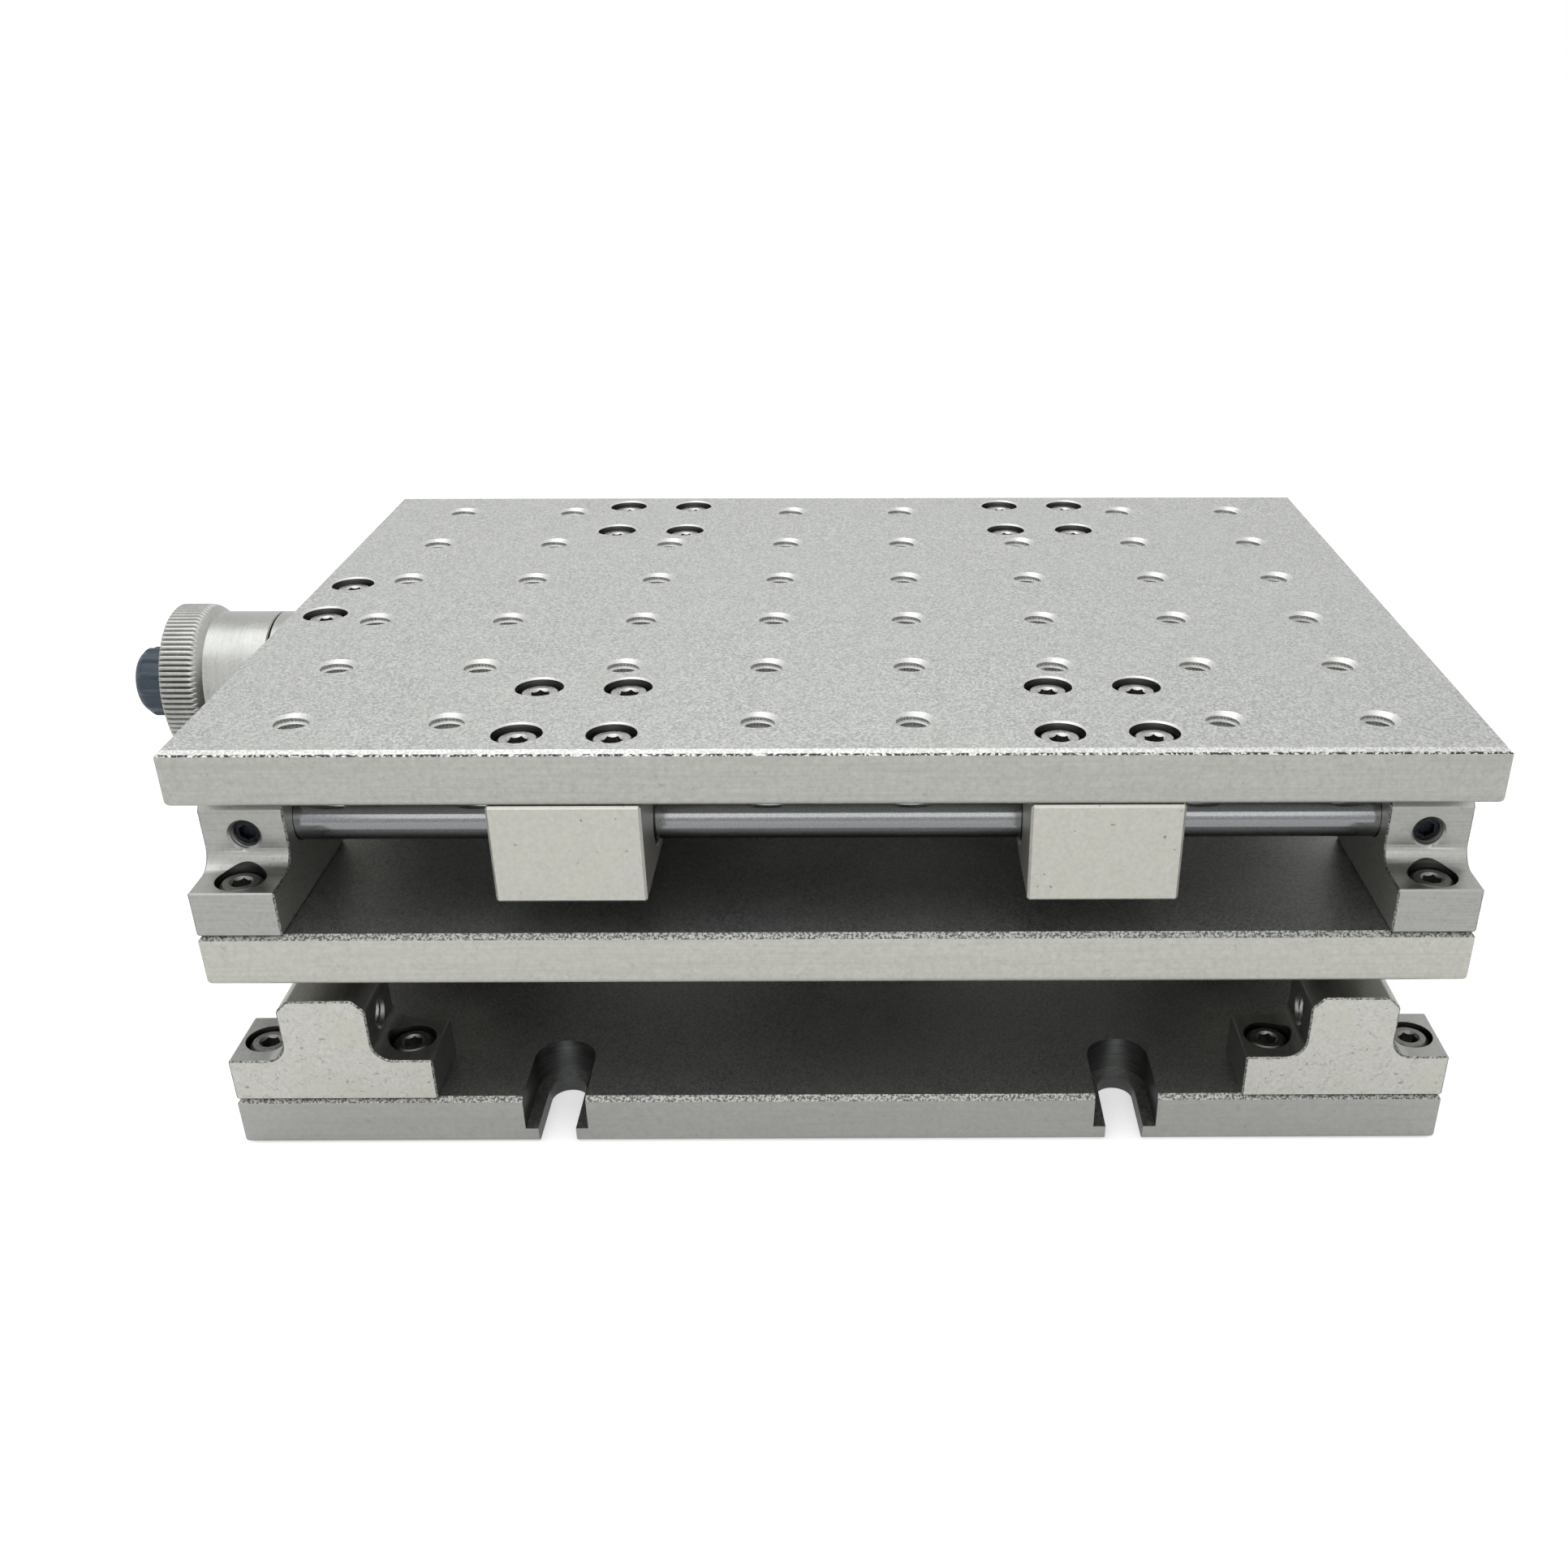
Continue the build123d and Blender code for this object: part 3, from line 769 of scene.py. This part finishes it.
def inner_thread(radius, crest, pitch, mouth, length):
    """The thread inside a tapped hole, from height nothing down, cut back by the hole's mouth."""
    flank = (radius - crest) * math.tan(math.radians(THREAD_FLANK))
    land = (pitch - 2 * flank) / 2
    profile = [(radius, 0), (crest, flank), (crest, flank + land / 2),
               (radius, 2 * flank + land / 2), (radius, pitch)]
    bm = helix(profile, pitch, length)
    moved(bm, place(0, 0, -length * MM))
    cut_above(bm, (radius - mouth) * MM)
    for vert in bm.verts:
        across = vert.co.xy.length
        least = mouth * MM + vert.co.z
        if across < least:
            vert.co.xy *= least / across
    bmesh.ops.reverse_faces(bm, faces=bm.faces)
    return bm


def cap_screws(node_name, steels):
    """Every cap screw of a group, each where its solid is."""
    boxes = solids_in(node_name)
    places = []
    for low, high in boxes:
        centre = (low + high) / 2
        spin = (centre.x * SCREW_TURN_X + centre.y * SCREW_TURN_Y) / MM % HEX_STEP
        places.append(place(centre.x, centre.y, high.z - HEAD_HEIGHT * MM, spin))
    low, high = boxes[-1]
    length = (high.z - low.z) / MM - HEAD_HEIGHT
    piece(repeat(cap_screw(length), places), node_name, steels)


# Plates

def paint_plate(bm, low, high):
    """Gives a plate's outer faces their finish. What was cut into it has one already."""
    for face in bm.faces:
        centre = face.calc_center_median()
        near = min(centre.x - low.x, high.x - centre.x, centre.y - low.y, high.y - centre.y)
        up = face.normal.z
        if up < -SQUARE:
            face.material_index = SIDE
        elif near < EDGE_RADIUS * MM and up < SQUARE and face.normal.xy.dot(centre.xy) > 0:
            if abs(up) >= ALONG or near < PLATE_SIDE_SKIN * MM:
                face.material_index = BREAK if up > LEANING else SIDE


def plate(node_name, metals, cutters, edge_break=False):
    """A plate with chamfered upper and rounded lower edges, and with what is cut out."""
    low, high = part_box(node_name)
    bm = block(low, high)
    bevel(bm, edges_at(bm, lambda p: p.z > high.z - NEAR * MM), EDGE_CHAMFER)
    bevel(bm, edges_at(bm, lambda p: p.z < low.z + NEAR * MM), EDGE_RADIUS, EDGE_STEPS)
    bm = carve(bm, *cutters)
    paint_plate(bm, low, high)
    piece(bm, node_name, metals, edge_break=edge_break)


def screw_pockets(node_name, group):
    """Cutters for the pockets of a group of screws through a plate."""
    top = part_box(node_name)[1].z
    boxes = solids_in(group)
    places = [place((a.x + b.x) / 2, (a.y + b.y) / 2, top) for a, b in boxes]
    depth = (top - boxes[-1][1].z) / MM + HEAD_HEIGHT
    return repeat(screw_pocket(depth, height_of(node_name) + PROUD), places)


def four_places(x, y, z, rear_turn=0):
    """A place in each quarter, that far from the middle. The rear ones may be turned."""
    return [place(sx * x * MM, sy * y * MM, z, rear_turn if sy > 0 else 0)
            for sx in (-1, 1) for sy in (-1, 1)]


def table_plate(metals):
    """The table, with the record's bolt patterns as tapped holes, and their threads."""
    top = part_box("table_plate")[1].z
    thickness = height_of("table_plate")
    places = []
    for mount in record["mounts"]:
        if mount["kind"] == "bolt_pattern":
            spacing = mount["dims"]
            places += four_places(spacing["spacing_x_mm"] / 2, spacing["spacing_y_mm"] / 2, top)
    holes = repeat(tapped_hole(TAPPED_RADIUS, TAPPED_MOUTH, thickness + PROUD), places)
    pockets = screw_pockets("table_plate", "table_plate_screws")
    plate("table_plate", metals, [join(holes, pockets)])
    thread = inner_thread(TAPPED_RADIUS, TAPPED_CREST, TAPPED_PITCH, TAPPED_MOUTH, thickness)
    moved(thread, place(0, 0, 0, TAPPED_START))
    # The threads take the mouths' pale finish, a painted highlight
    made = dressed("table_threads", repeat(thread, places), [metals[MOUTH]], "table_plate")
    made.data.set_sharp_from_angle(angle=math.radians(THREAD_SHARP_ANGLE))


def edge_slot(width, floor, height):
    """A cutter for a slot that is open towards -Y, with its round end at the origin."""
    end = rod(width / 2, floor, height, steps=96)
    bar = block((-width / 2 * MM, -SLOT_REACH * MM, floor * MM), (width / 2 * MM, 0, height * MM))
    return bored(combine(end, bar, "UNION"))


def base_plate(metals):
    """The base with its counterbored edge slots."""
    top = height_of("base_plate") + OVERRUN
    places = four_places(SLOT_SPACING_X / 2, SLOT_SPACING_Y / 2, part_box("base_plate")[0].z,
                         rear_turn=180)
    slots = [repeat(edge_slot(SLOT_WIDTH, -OVERRUN, top), places),
             repeat(edge_slot(SLOT_HEAD_WIDTH, SLOT_LIP, top), places)]
    plate("base_plate", metals, slots, edge_break=True)


# Guides

def t_bar(length, width, neck, height):
    """A length of inverted T section along X, standing on its flange."""
    half, neck_half = width / 2, neck / 2
    outline = [(-half, 0), (half, 0), (half, FLANGE_THICKNESS), (neck_half, FLANGE_THICKNESS),
               (neck_half, height), (-neck_half, height), (-neck_half, FLANGE_THICKNESS),
               (-half, FLANGE_THICKNESS)]
    bm = bmesh.new()
    face = bm.faces.new([bm.verts.new((-length / 2 * MM, y * MM, z * MM)) for y, z in outline])
    swept = bmesh.ops.extrude_face_region(bm, geom=[face])["geom"]
    bmesh.ops.translate(bm, vec=(length * MM, 0, 0),
                        verts=[g for g in swept if isinstance(g, bmesh.types.BMVert)])
    bmesh.ops.recalc_face_normals(bm, faces=bm.faces)
    near = NEAR * MM
    bevel(bm, edges_at(bm, lambda p: abs(p.z - FLANGE_THICKNESS * MM) < near
                       and abs(abs(p.y) - neck_half * MM) < near), NECK_FILLET, NECK_FILLET_STEPS)
    bevel(bm, [e for e in edges_at(bm, lambda p: abs(p.z - height * MM) < near)
               if runs_along(e, 0, near)], NECK_CHAMFER)
    bevel(bm, edges_at(bm, lambda p: abs(abs(p.x) - length / 2 * MM) < near), CUT_END_BREAK)
    for face in bm.faces:
        along = abs(face.normal.x)
        if along > LEANING:
            face.material_index = SIDE if along > SQUARE else BREAK
    return bm


def t_block(node_name, neck, group):
    """A block of T section with the pockets of its two screws in the flange."""
    low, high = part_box(node_name)
    bm = t_bar(*sizes_of(node_name), neck, height_of(node_name))
    boxes = [b for b in solids_in(group) if low.x < b[0].x < high.x and low.y < b[0].y < high.y]
    first, second = [(a + b) / 2 for a, b in boxes]
    half = (first - second).xy.length / MM / 2
    flange_top = low.z + FLANGE_THICKNESS * MM
    depth = (flange_top - boxes[0][1].z) / MM + HEAD_HEIGHT
    top = FLANGE_THICKNESS + NECK_FILLET
    cutter = screw_pocket(depth + NECK_FILLET, top + PROUD)
    return carve(bm, repeat(cutter, [place(0, sy * half * MM, top * MM) for sy in (-1, 1)]))


def end_block(node_name, group, set_group, metals):
    """A shaft end block with its pockets, bore and set screw hole, whose place it gives back."""
    low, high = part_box(node_name)
    centre = (low + high) / 2
    if node_name[0] == "x":
        turn = 0 if centre.x > 0 else 180
    else:
        turn = 90 if centre.y > 0 else -90
    where = place(centre.x, centre.y, low.z, turn)
    length = sizes_of(node_name)[0]
    seat = SHAFT_RADIUS + SEAT_CLEARANCE
    bore = lathe([(0, -OVERRUN), (seat + BORE_FLARE, -OVERRUN), (seat, BORE_BREAK),
                  (seat, length - END_WALL), (0, length - END_WALL)])
    moved(bore, place(-length / 2 * MM, 0, SHAFT_HEIGHT * MM) @ LAID["x"])
    screws = [(a + b) / 2 for a, b in solids_in(set_group)]
    nearest = min(screws, key=lambda p: (p - centre).xy.length)
    side = 1 if (where.inverted() @ nearest).y > 0 else -1
    outwards = place(0, side * END_NECK_WIDTH / 2 * MM, SHAFT_HEIGHT * MM, -90 * side, "X")
    hole = moved(tapped_hole(SET_RADIUS, SET_MOUTH, END_NECK_WIDTH / 2), outwards)
    piece(carve(t_block(node_name, END_NECK_WIDTH, group), bore, hole), node_name, metals, where,
          edge_break=True)
    return where @ outwards


def set_screws(prefix, places, steel, metal):
    """The set screws of a level and the threads of the holes they are in."""
    group = prefix + "_set_screws"
    ends = min(solids_in(group), key=lambda box: (box[0] - places[0].translation).length)
    inner, outer = sorted((places[0].inverted() @ end).z / MM for end in ends)
    radius = SET_RADIUS - SET_CLEARANCE
    body = lathe([(0, inner), (radius - SET_POINT, inner), (radius, inner + SET_POINT),
                  (radius, outer - SET_TOP_BREAK), (radius - SET_POINT, outer), (0, outer)],
                 steps=32)
    socket = moved(hex_key(SET_HEX_ACROSS, SET_HEX_DEPTH), place(0, 0, outer * MM))
    piece(repeat(carve(body, socket), places), group, [steel])
    thread = inner_thread(SET_RADIUS, SET_CREST, SET_PITCH, SET_MOUTH, -inner)
    dressed(group + "_threads", repeat(thread, places), [metal], prefix + "_end_block_front_left")


def bearing_block(prefix, corner, bar, polymer):
    """A bearing block and the bush inside it."""
    node_name = f"{prefix}_bearing_block_{corner}"
    bush_name = f"{prefix}_bush_{corner}"
    low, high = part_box(node_name)
    bm = block(low, high)
    bevel(bm, bm.edges[:], BEARING_BREAK)
    half = sizes_of(node_name)[0] / 2
    reach = half + PROUD
    seat = BUSH_RADIUS + SEAT_CLEARANCE
    where = Matrix.Translation(centre_of(bush_name)) @ LAID[prefix]
    bore = lathe([(0, -reach), (seat + BORE_FLARE, -reach), (seat, BORE_BREAK - half),
                  (seat, half - BORE_BREAK), (seat + BORE_FLARE, reach), (0, reach)])
    piece(carve(bm, moved(bore, where)), node_name, [bar])
    half = sizes_of(bush_name)[0] / 2
    inner = SHAFT_RADIUS + RUNNING_CLEARANCE
    bush = lathe([(inner, -half + BUSH_BREAK), (inner + BUSH_BREAK, -half), (BUSH_RADIUS, -half),
                  (BUSH_RADIUS, half), (inner + BUSH_BREAK, half), (inner, half - BUSH_BREAK)],
                 closed=True)
    piece(bush, bush_name, [polymer], where)


def guide_shaft(node_name, steel):
    """A ground shaft with broken ends."""
    half = sizes_of(node_name)[0] / 2
    face = SHAFT_RADIUS - SHAFT_BREAK
    side = half - SHAFT_BREAK
    bm = lathe([(0, -half), (face, -half), (SHAFT_RADIUS, -side), (SHAFT_RADIUS, side),
                (face, half), (0, half)], steps=128)
    piece(bm, node_name, [steel], Matrix.Translation(centre_of(node_name)) @ LAID[node_name[0]])


# Screw units

def unit_place(prefix):
    """The matrix that lays a shape made about +Z on a screw's axis, pointing outwards."""
    low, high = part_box(prefix + "_dial_sleeve")
    centre = (low + high) / 2
    if prefix == "x":
        return place(high.x, centre.y, centre.z, -90, "Y")
    return place(centre.x, low.y, centre.z, -90, "X")


def ends_of(node_name, where):
    """Where along its screw's axis a solid starts and ends."""
    return sorted((where.inverted() @ corner).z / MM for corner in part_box(node_name))


def nut_block(prefix, group, metals, brass):
    """The block that holds a lead screw's nut, and the nut."""
    name = prefix + "_nut_block"
    centre, low = centre_of(name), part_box(name)[0]
    nut_centre = centre_of(prefix + "_lead_nut")
    turn = 0 if prefix == "x" else 90
    half = sizes_of(name)[0] / 2
    reach = half + PROUD
    seat = NUT_RADIUS + SEAT_CLEARANCE
    bore = moved(rod(seat, -reach, reach), place(0, 0, nut_centre.z - low.z) @ LAID["x"])
    piece(carve(t_block(name, NUT_NECK_WIDTH, group), bore), name, metals,
          place(centre.x, centre.y, low.z, turn), edge_break=True)
    inner = LEAD_SCREW_RADIUS + NUT_CLEARANCE
    nut = lathe([(inner, -half + NUT_MOUTH), (inner + NUT_MOUTH, -half),
                 (NUT_RADIUS - NUT_BREAK, -half), (NUT_RADIUS, -half + NUT_BREAK),
                 (NUT_RADIUS, half - NUT_BREAK), (NUT_RADIUS - NUT_BREAK, half),
                 (inner + NUT_MOUTH, half), (inner, half - NUT_MOUTH)], closed=True)
    piece(nut, prefix + "_lead_nut", [brass], place(*nut_centre, turn) @ LAID["x"])


def screw_bracket(prefix, bar, polymer):
    """The bracket under a plate's edge, and the flanged bush through it."""
    name = prefix + "_screw_bracket"
    where = unit_place(prefix)
    low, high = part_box(name)
    sleeve_low, sleeve_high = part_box(prefix + "_dial_sleeve")
    if prefix == "x":
        low.x, high.z = sleeve_high.x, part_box("table_plate")[0].z
    else:
        high.y, high.z = sleeve_low.y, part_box("middle_plate")[0].z
    bm = block(low, high)
    lower = edges_at(bm, lambda p: p.z < low.z + NEAR * MM)
    bevel(bm, [e for e in lower if runs_along(e, "xy".index(prefix), MM)], BRACKET_RADIUS,
          EDGE_STEPS)
    spigot = SLEEVE_LENGTH - SPINDLE_FLANGE
    seat = SPINDLE_BUSH_RADIUS + SEAT_CLEARANCE
    ring = lathe([(seat, 0), (SPIGOT_RADIUS, 0), (SPIGOT_RADIUS, spigot), (seat, spigot)],
                 closed=True)
    bore = moved(rod(seat, -BRACKET_LENGTH - OVERRUN, OVERRUN), where)
    piece(join(carve(bm, bore), moved(ring, where)), name, [bar], edge_break=True)
    inner = JOURNAL_RADIUS + RUNNING_CLEARANCE
    bush = lathe([(inner, -BRACKET_LENGTH), (SPINDLE_BUSH_RADIUS, -BRACKET_LENGTH),
                  (SPINDLE_BUSH_RADIUS, spigot), (SPINDLE_FLANGE_RADIUS, spigot),
                  (SPINDLE_FLANGE_RADIUS, SLEEVE_LENGTH), (inner, SLEEVE_LENGTH)], closed=True)
    piece(bush, prefix + "_spindle_bush", [polymer], where)


def dial_sleeve(prefix, turned):
    """The fixed sleeve between a bracket and its handwheel."""
    name = prefix + "_dial_sleeve"
    outer = height_of(name) / 2
    inner = SPIGOT_RADIUS + SEAT_CLEARANCE
    ring = lathe([(inner, 0), (outer - SLEEVE_BREAK, 0), (outer, SLEEVE_BREAK),
                  (outer, SLEEVE_LENGTH - SLEEVE_BREAK), (outer - SLEEVE_BREAK, SLEEVE_LENGTH),
                  (inner, SLEEVE_LENGTH)], steps=128, closed=True)
    piece(ring, name, [turned], unit_place(prefix))


def lead_screw(prefix, steel):
    """A two-start trapezoidal lead screw with a journal and the handwheel's seat."""
    name = prefix + "_lead_screw"
    where = unit_place(prefix)
    start, end = ends_of(name, where)
    outer, root = LEAD_SCREW_RADIUS, LEAD_SCREW_ROOT
    shoulder = -BRACKET_LENGTH - AXIAL_PLAY
    collar = shoulder - LEAD_SCREW_COLLAR
    seat = SLEEVE_LENGTH + AXIAL_PLAY
    core = lathe([(0, start), (root - SCREW_END_BREAK, start), (root, start + SCREW_END_BREAK),
                  (root, collar), (outer, collar), (outer, shoulder), (JOURNAL_RADIUS, shoulder),
                  (JOURNAL_RADIUS, seat), (WHEEL_SEAT_RADIUS, seat), (WHEEL_SEAT_RADIUS, end),
                  (0, end)])
    flank = (outer - root) * math.tan(math.radians(LEAD_SCREW_FLANK))
    crest = THREAD_PITCH / 2 - flank
    profile = [(root, 0)]
    for i in range(THREAD_STARTS):
        z = i * THREAD_PITCH
        profile += [(outer, z + flank), (outer, z + flank + crest),
                    (root, z + 2 * flank + crest), (root, z + THREAD_PITCH)]
    first = start + LEAD_SCREW_RUN_IN
    thread = helix(profile, THREAD_PITCH * THREAD_STARTS, collar - first, steps=40)
    piece(join(core, moved(thread, place(0, 0, first * MM))), name, [steel], where)


def straight(radius, start, end, steps=4):
    """The points of a straight side of a profile, without its first one."""
    return [(radius, start + (end - start) * i / steps) for i in range(1, steps + 1)]


def knurled(bm, start, rim_radius):
    """Cuts straight knurling into the rim: V grooves that run out in the taper."""
    root = (rim_radius - TOOTH_DEPTH) * MM
    for vert in bm.verts:
        across = vert.co.xy.length
        if vert.co.z < start * MM or across < root:
            continue
        phase = math.atan2(vert.co.y, vert.co.x) / TURN * TOOTH_COUNT % 1.0
        groove = max(0.0, 1 - abs(phase - 0.5) / ((1 - TOOTH_LAND) / 2))
        limit = (rim_radius - TOOTH_DEPTH * groove) * MM
        if across > limit:
            vert.co.xy *= limit / across


def handwheel(prefix, turned):
    """A turned barrel, a hollow taper up to the rim and a knurled rim."""
    name = prefix + "_handwheel"
    rim = height_of(name) / 2
    barrel = rim - RIM_STEP
    bore = WHEEL_SEAT_RADIUS + SEAT_CLEARANCE
    hub_start = SLEEVE_LENGTH + AXIAL_PLAY
    start = SLEEVE_LENGTH + DIAL_GAP
    end = SLEEVE_LENGTH + WHEEL_GAP + WHEEL_LENGTH
    rim_start = end - RIM_WIDTH
    taper_start = rim_start - RIM_TAPER
    side = start + BARREL_BREAK
    profile = [(bore, hub_start), (WHEEL_HUB_RADIUS, hub_start), (WHEEL_HUB_RADIUS, start),
               (barrel - BARREL_BREAK, start), (barrel, side)]
    profile += straight(barrel, side, taper_start)
    for i in range(1, RIM_TAPER_STEPS):
        share = i / RIM_TAPER_STEPS
        rise = 1 - (1 - share) ** RIM_TAPER_FULLNESS
        profile.append((barrel + RIM_STEP * rise, rim_start - RIM_TAPER * (1 - share)))
    profile += [(rim, rim_start), (rim, end - RIM_BREAK), (rim - RIM_BREAK, end),
                (FACE_RECESS_RADIUS, end),
                (FACE_RECESS_RADIUS - FACE_RECESS_SLOPE, end - FACE_RECESS),
                (bore, end - FACE_RECESS)]
    bm = lathe(profile, TOOTH_COUNT * TOOTH_STEPS, closed=True)
    knurled(bm, taper_start, rim)
    piece(bm, name, [turned], unit_place(prefix), sharp=RIBBED_SHARP_ANGLE)


def clamp_knob(prefix, plastic):
    """A moulded knob with a round end and low ribs that fade out in the round."""
    name = prefix + "_clamp_knob"
    where = unit_place(prefix)
    start, end = ends_of(name, where)
    top = KNOB_RADIUS + KNOB_RIB_HEIGHT
    shoulder = end - KNOB_ROUND
    profile = [(0, start), (top, start)] + straight(top, start, shoulder)
    for i in range(1, KNOB_ROUND_STEPS + 1):
        angle = i / KNOB_ROUND_STEPS * math.pi / 2
        profile.append((top - KNOB_ROUND * (1 - math.cos(angle)),
                        shoulder + KNOB_ROUND * math.sin(angle)))
    profile.append((0, end))
    bm = lathe(profile, KNOB_RIBS * KNOB_RIB_STEPS)
    pitch = TURN / KNOB_RIBS
    for vert in bm.verts:
        across = vert.co.xy.length
        angle = math.atan2(vert.co.y, vert.co.x) % pitch
        off = min(angle, pitch - angle) / KNOB_RIB_HALF_ANGLE
        rise = max(0.0, vert.co.z / MM - shoulder) / KNOB_ROUND
        body = KNOB_RADIUS - KNOB_ROUND * (1 - math.sqrt(max(0.0, 1 - rise**2)))
        fade = max(0.0, 1 - KNOB_RIB_FADE * rise)
        rib = KNOB_RIB_HEIGHT * math.sqrt(max(0.0, 1 - off**2)) * fade
        limit = (body + rib) * MM
        if across > limit:
            vert.co.xy *= limit / across
    piece(bm, name, [plastic], where, sharp=RIBBED_SHARP_ANGLE)


# Assembly

place_camera()
studio()

blasted = blasted_aluminium("bead_blasted", "#929492", "#C8C9C6")
# A darker copy of the blasted finish for the middle and base plates: painted shade in the gaps
# under the plates above
blasted_shaded = blasted_aluminium("bead_blasted_painted_shade", "#747675", "#A5A6A4")
chamfer_upper = blasted_chamfer("blasted_chamfer", "#A9AAA7", "#CBCBC8",
                                cad_high.z - EDGE_CHAMFER * MM)
# A darker copy of the chamfer finish, for the lower plates and the blocks' broken edges: painted
# shade under the plates above
chamfer_shaded = blasted_chamfer("chamfer_painted_shade", "#484946", "#A0A09C")
bore = shaded_bored_aluminium()
# Countersunk mouths, cut before anodising, and matt; their pale tone is a painted highlight, which
# the table's threads share
mouth = even_finish("anodised_aluminium_countersunk", 0.3, "#BEBFBC", "#D0D1CE", 0.46, 0.54)
milled_upper = milled_aluminium("milled", "#A0A09B", "#B5B5B0")
# The middle plate's sides are a lighter copy of the milled finish, painted light, and the base's a
# darker one, painted shade
milled_middle = milled_aluminium("milled_painted_light", "#ADACA6", "#C2C1BA")
milled_lower = milled_aluminium("milled_painted_shade", "#9E9E9B", "#ACACA9")
drawn_x = drawn_aluminium("drawn_along_x", (40, 1, 1))
drawn_y = drawn_aluminium("drawn_along_y", (1, 40, 1))
sawn = sawn_aluminium()
matt = bearing_aluminium()
turned_x = turned_aluminium("turned_about_x", (1, 40, 40))
turned_y = turned_aluminium("turned_about_y", (40, 1, 40))
# Hardened shafts, ground and hard chromed: nearly a mirror
shaft_steel = even_finish("chromed_steel_ground", 0.3, "#7C7E80", "#8A8C8E", 0.1, 0.16)
# Zinc plated cap screws, cold headed: bright and slightly uneven. The socket's lead-in is matt
# and pale, a painted highlight, and its punched walls and the head's knurled side are dull, and
# their dark tone is painted shade
zinc = [even_finish("zinc_plated_steel_cold_headed", 0.6, "#9C9B98", "#B4B3B0", 0.2, 0.32, 0.01),
        even_finish("zinc_plated_steel_coined", 0.4, "#B0AFAC", "#C0BFBC", 0.42, 0.5, 0.01),
        even_finish("zinc_plated_steel_punched_painted_shade", 0.3, "#565553", "#696866", 0.35, 0.5, 0.02)]
# The same screws down in the blocks' flanges, a little duller, and darker all over as painted shade
# under the plates above them
zinc_shaded = [even_finish("zinc_plated_steel_painted_shade", 0.6, "#6A6967", "#807F7C", 0.28, 0.4, 0.01),
             even_finish("zinc_plated_steel_coined_painted_shade", 0.4, "#7C7B78", "#8E8D8A", 0.42, 0.5,
                         0.01),
             zinc[PAINTED_SHADE]]
# Blackened set screws, oiled: dark, with a soft shine, and darker still as painted shade of the
# deep holes they sit in
black_oxide_with_shade = even_finish("black_oxide_steel_rolled_painted_shade", 0.5, "#202226", "#32353A", 0.34, 0.46)
# Rolled lead screws, oiled: bright and smooth
rolled = even_finish("carbon_steel_rolled", 0.8, "#9A9B9C", "#B0B1B2", 0.2, 0.34)
# Turned brass nuts: warm yellow, with a soft shine
brass = even_finish("brass_turned", 0.5, "#C49A4A", "#D8B266", 0.2, 0.32)
# Moulded bushes: blue-black and matt
polymer = even_finish("acetal_moulded", 0.7, "#1B2230", "#232C3D", 0.4, 0.5, metallic=0.0)
# Moulded nylon knobs: slate blue-black with a satin skin
plastic = even_finish("nylon_moulded_satin", 0.4, "#1D2B37", "#263643", 0.38, 0.5, 0.01, 0.0)

CORNERS = ("front_left", "front_right", "rear_left", "rear_right")

table_plate([blasted, milled_upper, chamfer_upper, bore, mouth])
plate("middle_plate", [blasted_shaded, milled_middle, chamfer_shaded, bore, mouth],
      [screw_pockets("middle_plate", "middle_plate_screws")])
base_plate([blasted_shaded, milled_lower, chamfer_shaded, bore, mouth])
for group in ("table_plate_screws", "middle_plate_screws"):
    cap_screws(group, zinc)
for prefix, group, drawn, turned in (("x", "upper_block_screws", drawn_x, turned_x),
                                     ("y", "lower_block_screws", drawn_y, turned_y)):
    cap_screws(group, zinc_shaded)
    metals = [drawn, sawn, chamfer_shaded, bore, drawn]
    holes = [end_block(f"{prefix}_end_block_{corner}", group, prefix + "_set_screws", metals)
             for corner in CORNERS]
    set_screws(prefix, holes, black_oxide_with_shade, drawn)
    for corner in CORNERS:
        bearing_block(prefix, corner, matt, polymer)
    nut_block(prefix, group, metals, brass)
    screw_bracket(prefix, matt, polymer)
    dial_sleeve(prefix, turned)
    lead_screw(prefix, rolled)
    handwheel(prefix, turned)
    clamp_knob(prefix, plastic)
for name in ("x_shaft_front", "x_shaft_rear", "y_shaft_left", "y_shaft_right"):
    guide_shaft(name, shaft_steel)

bpy.context.scene.view_settings.view_transform = "Standard"
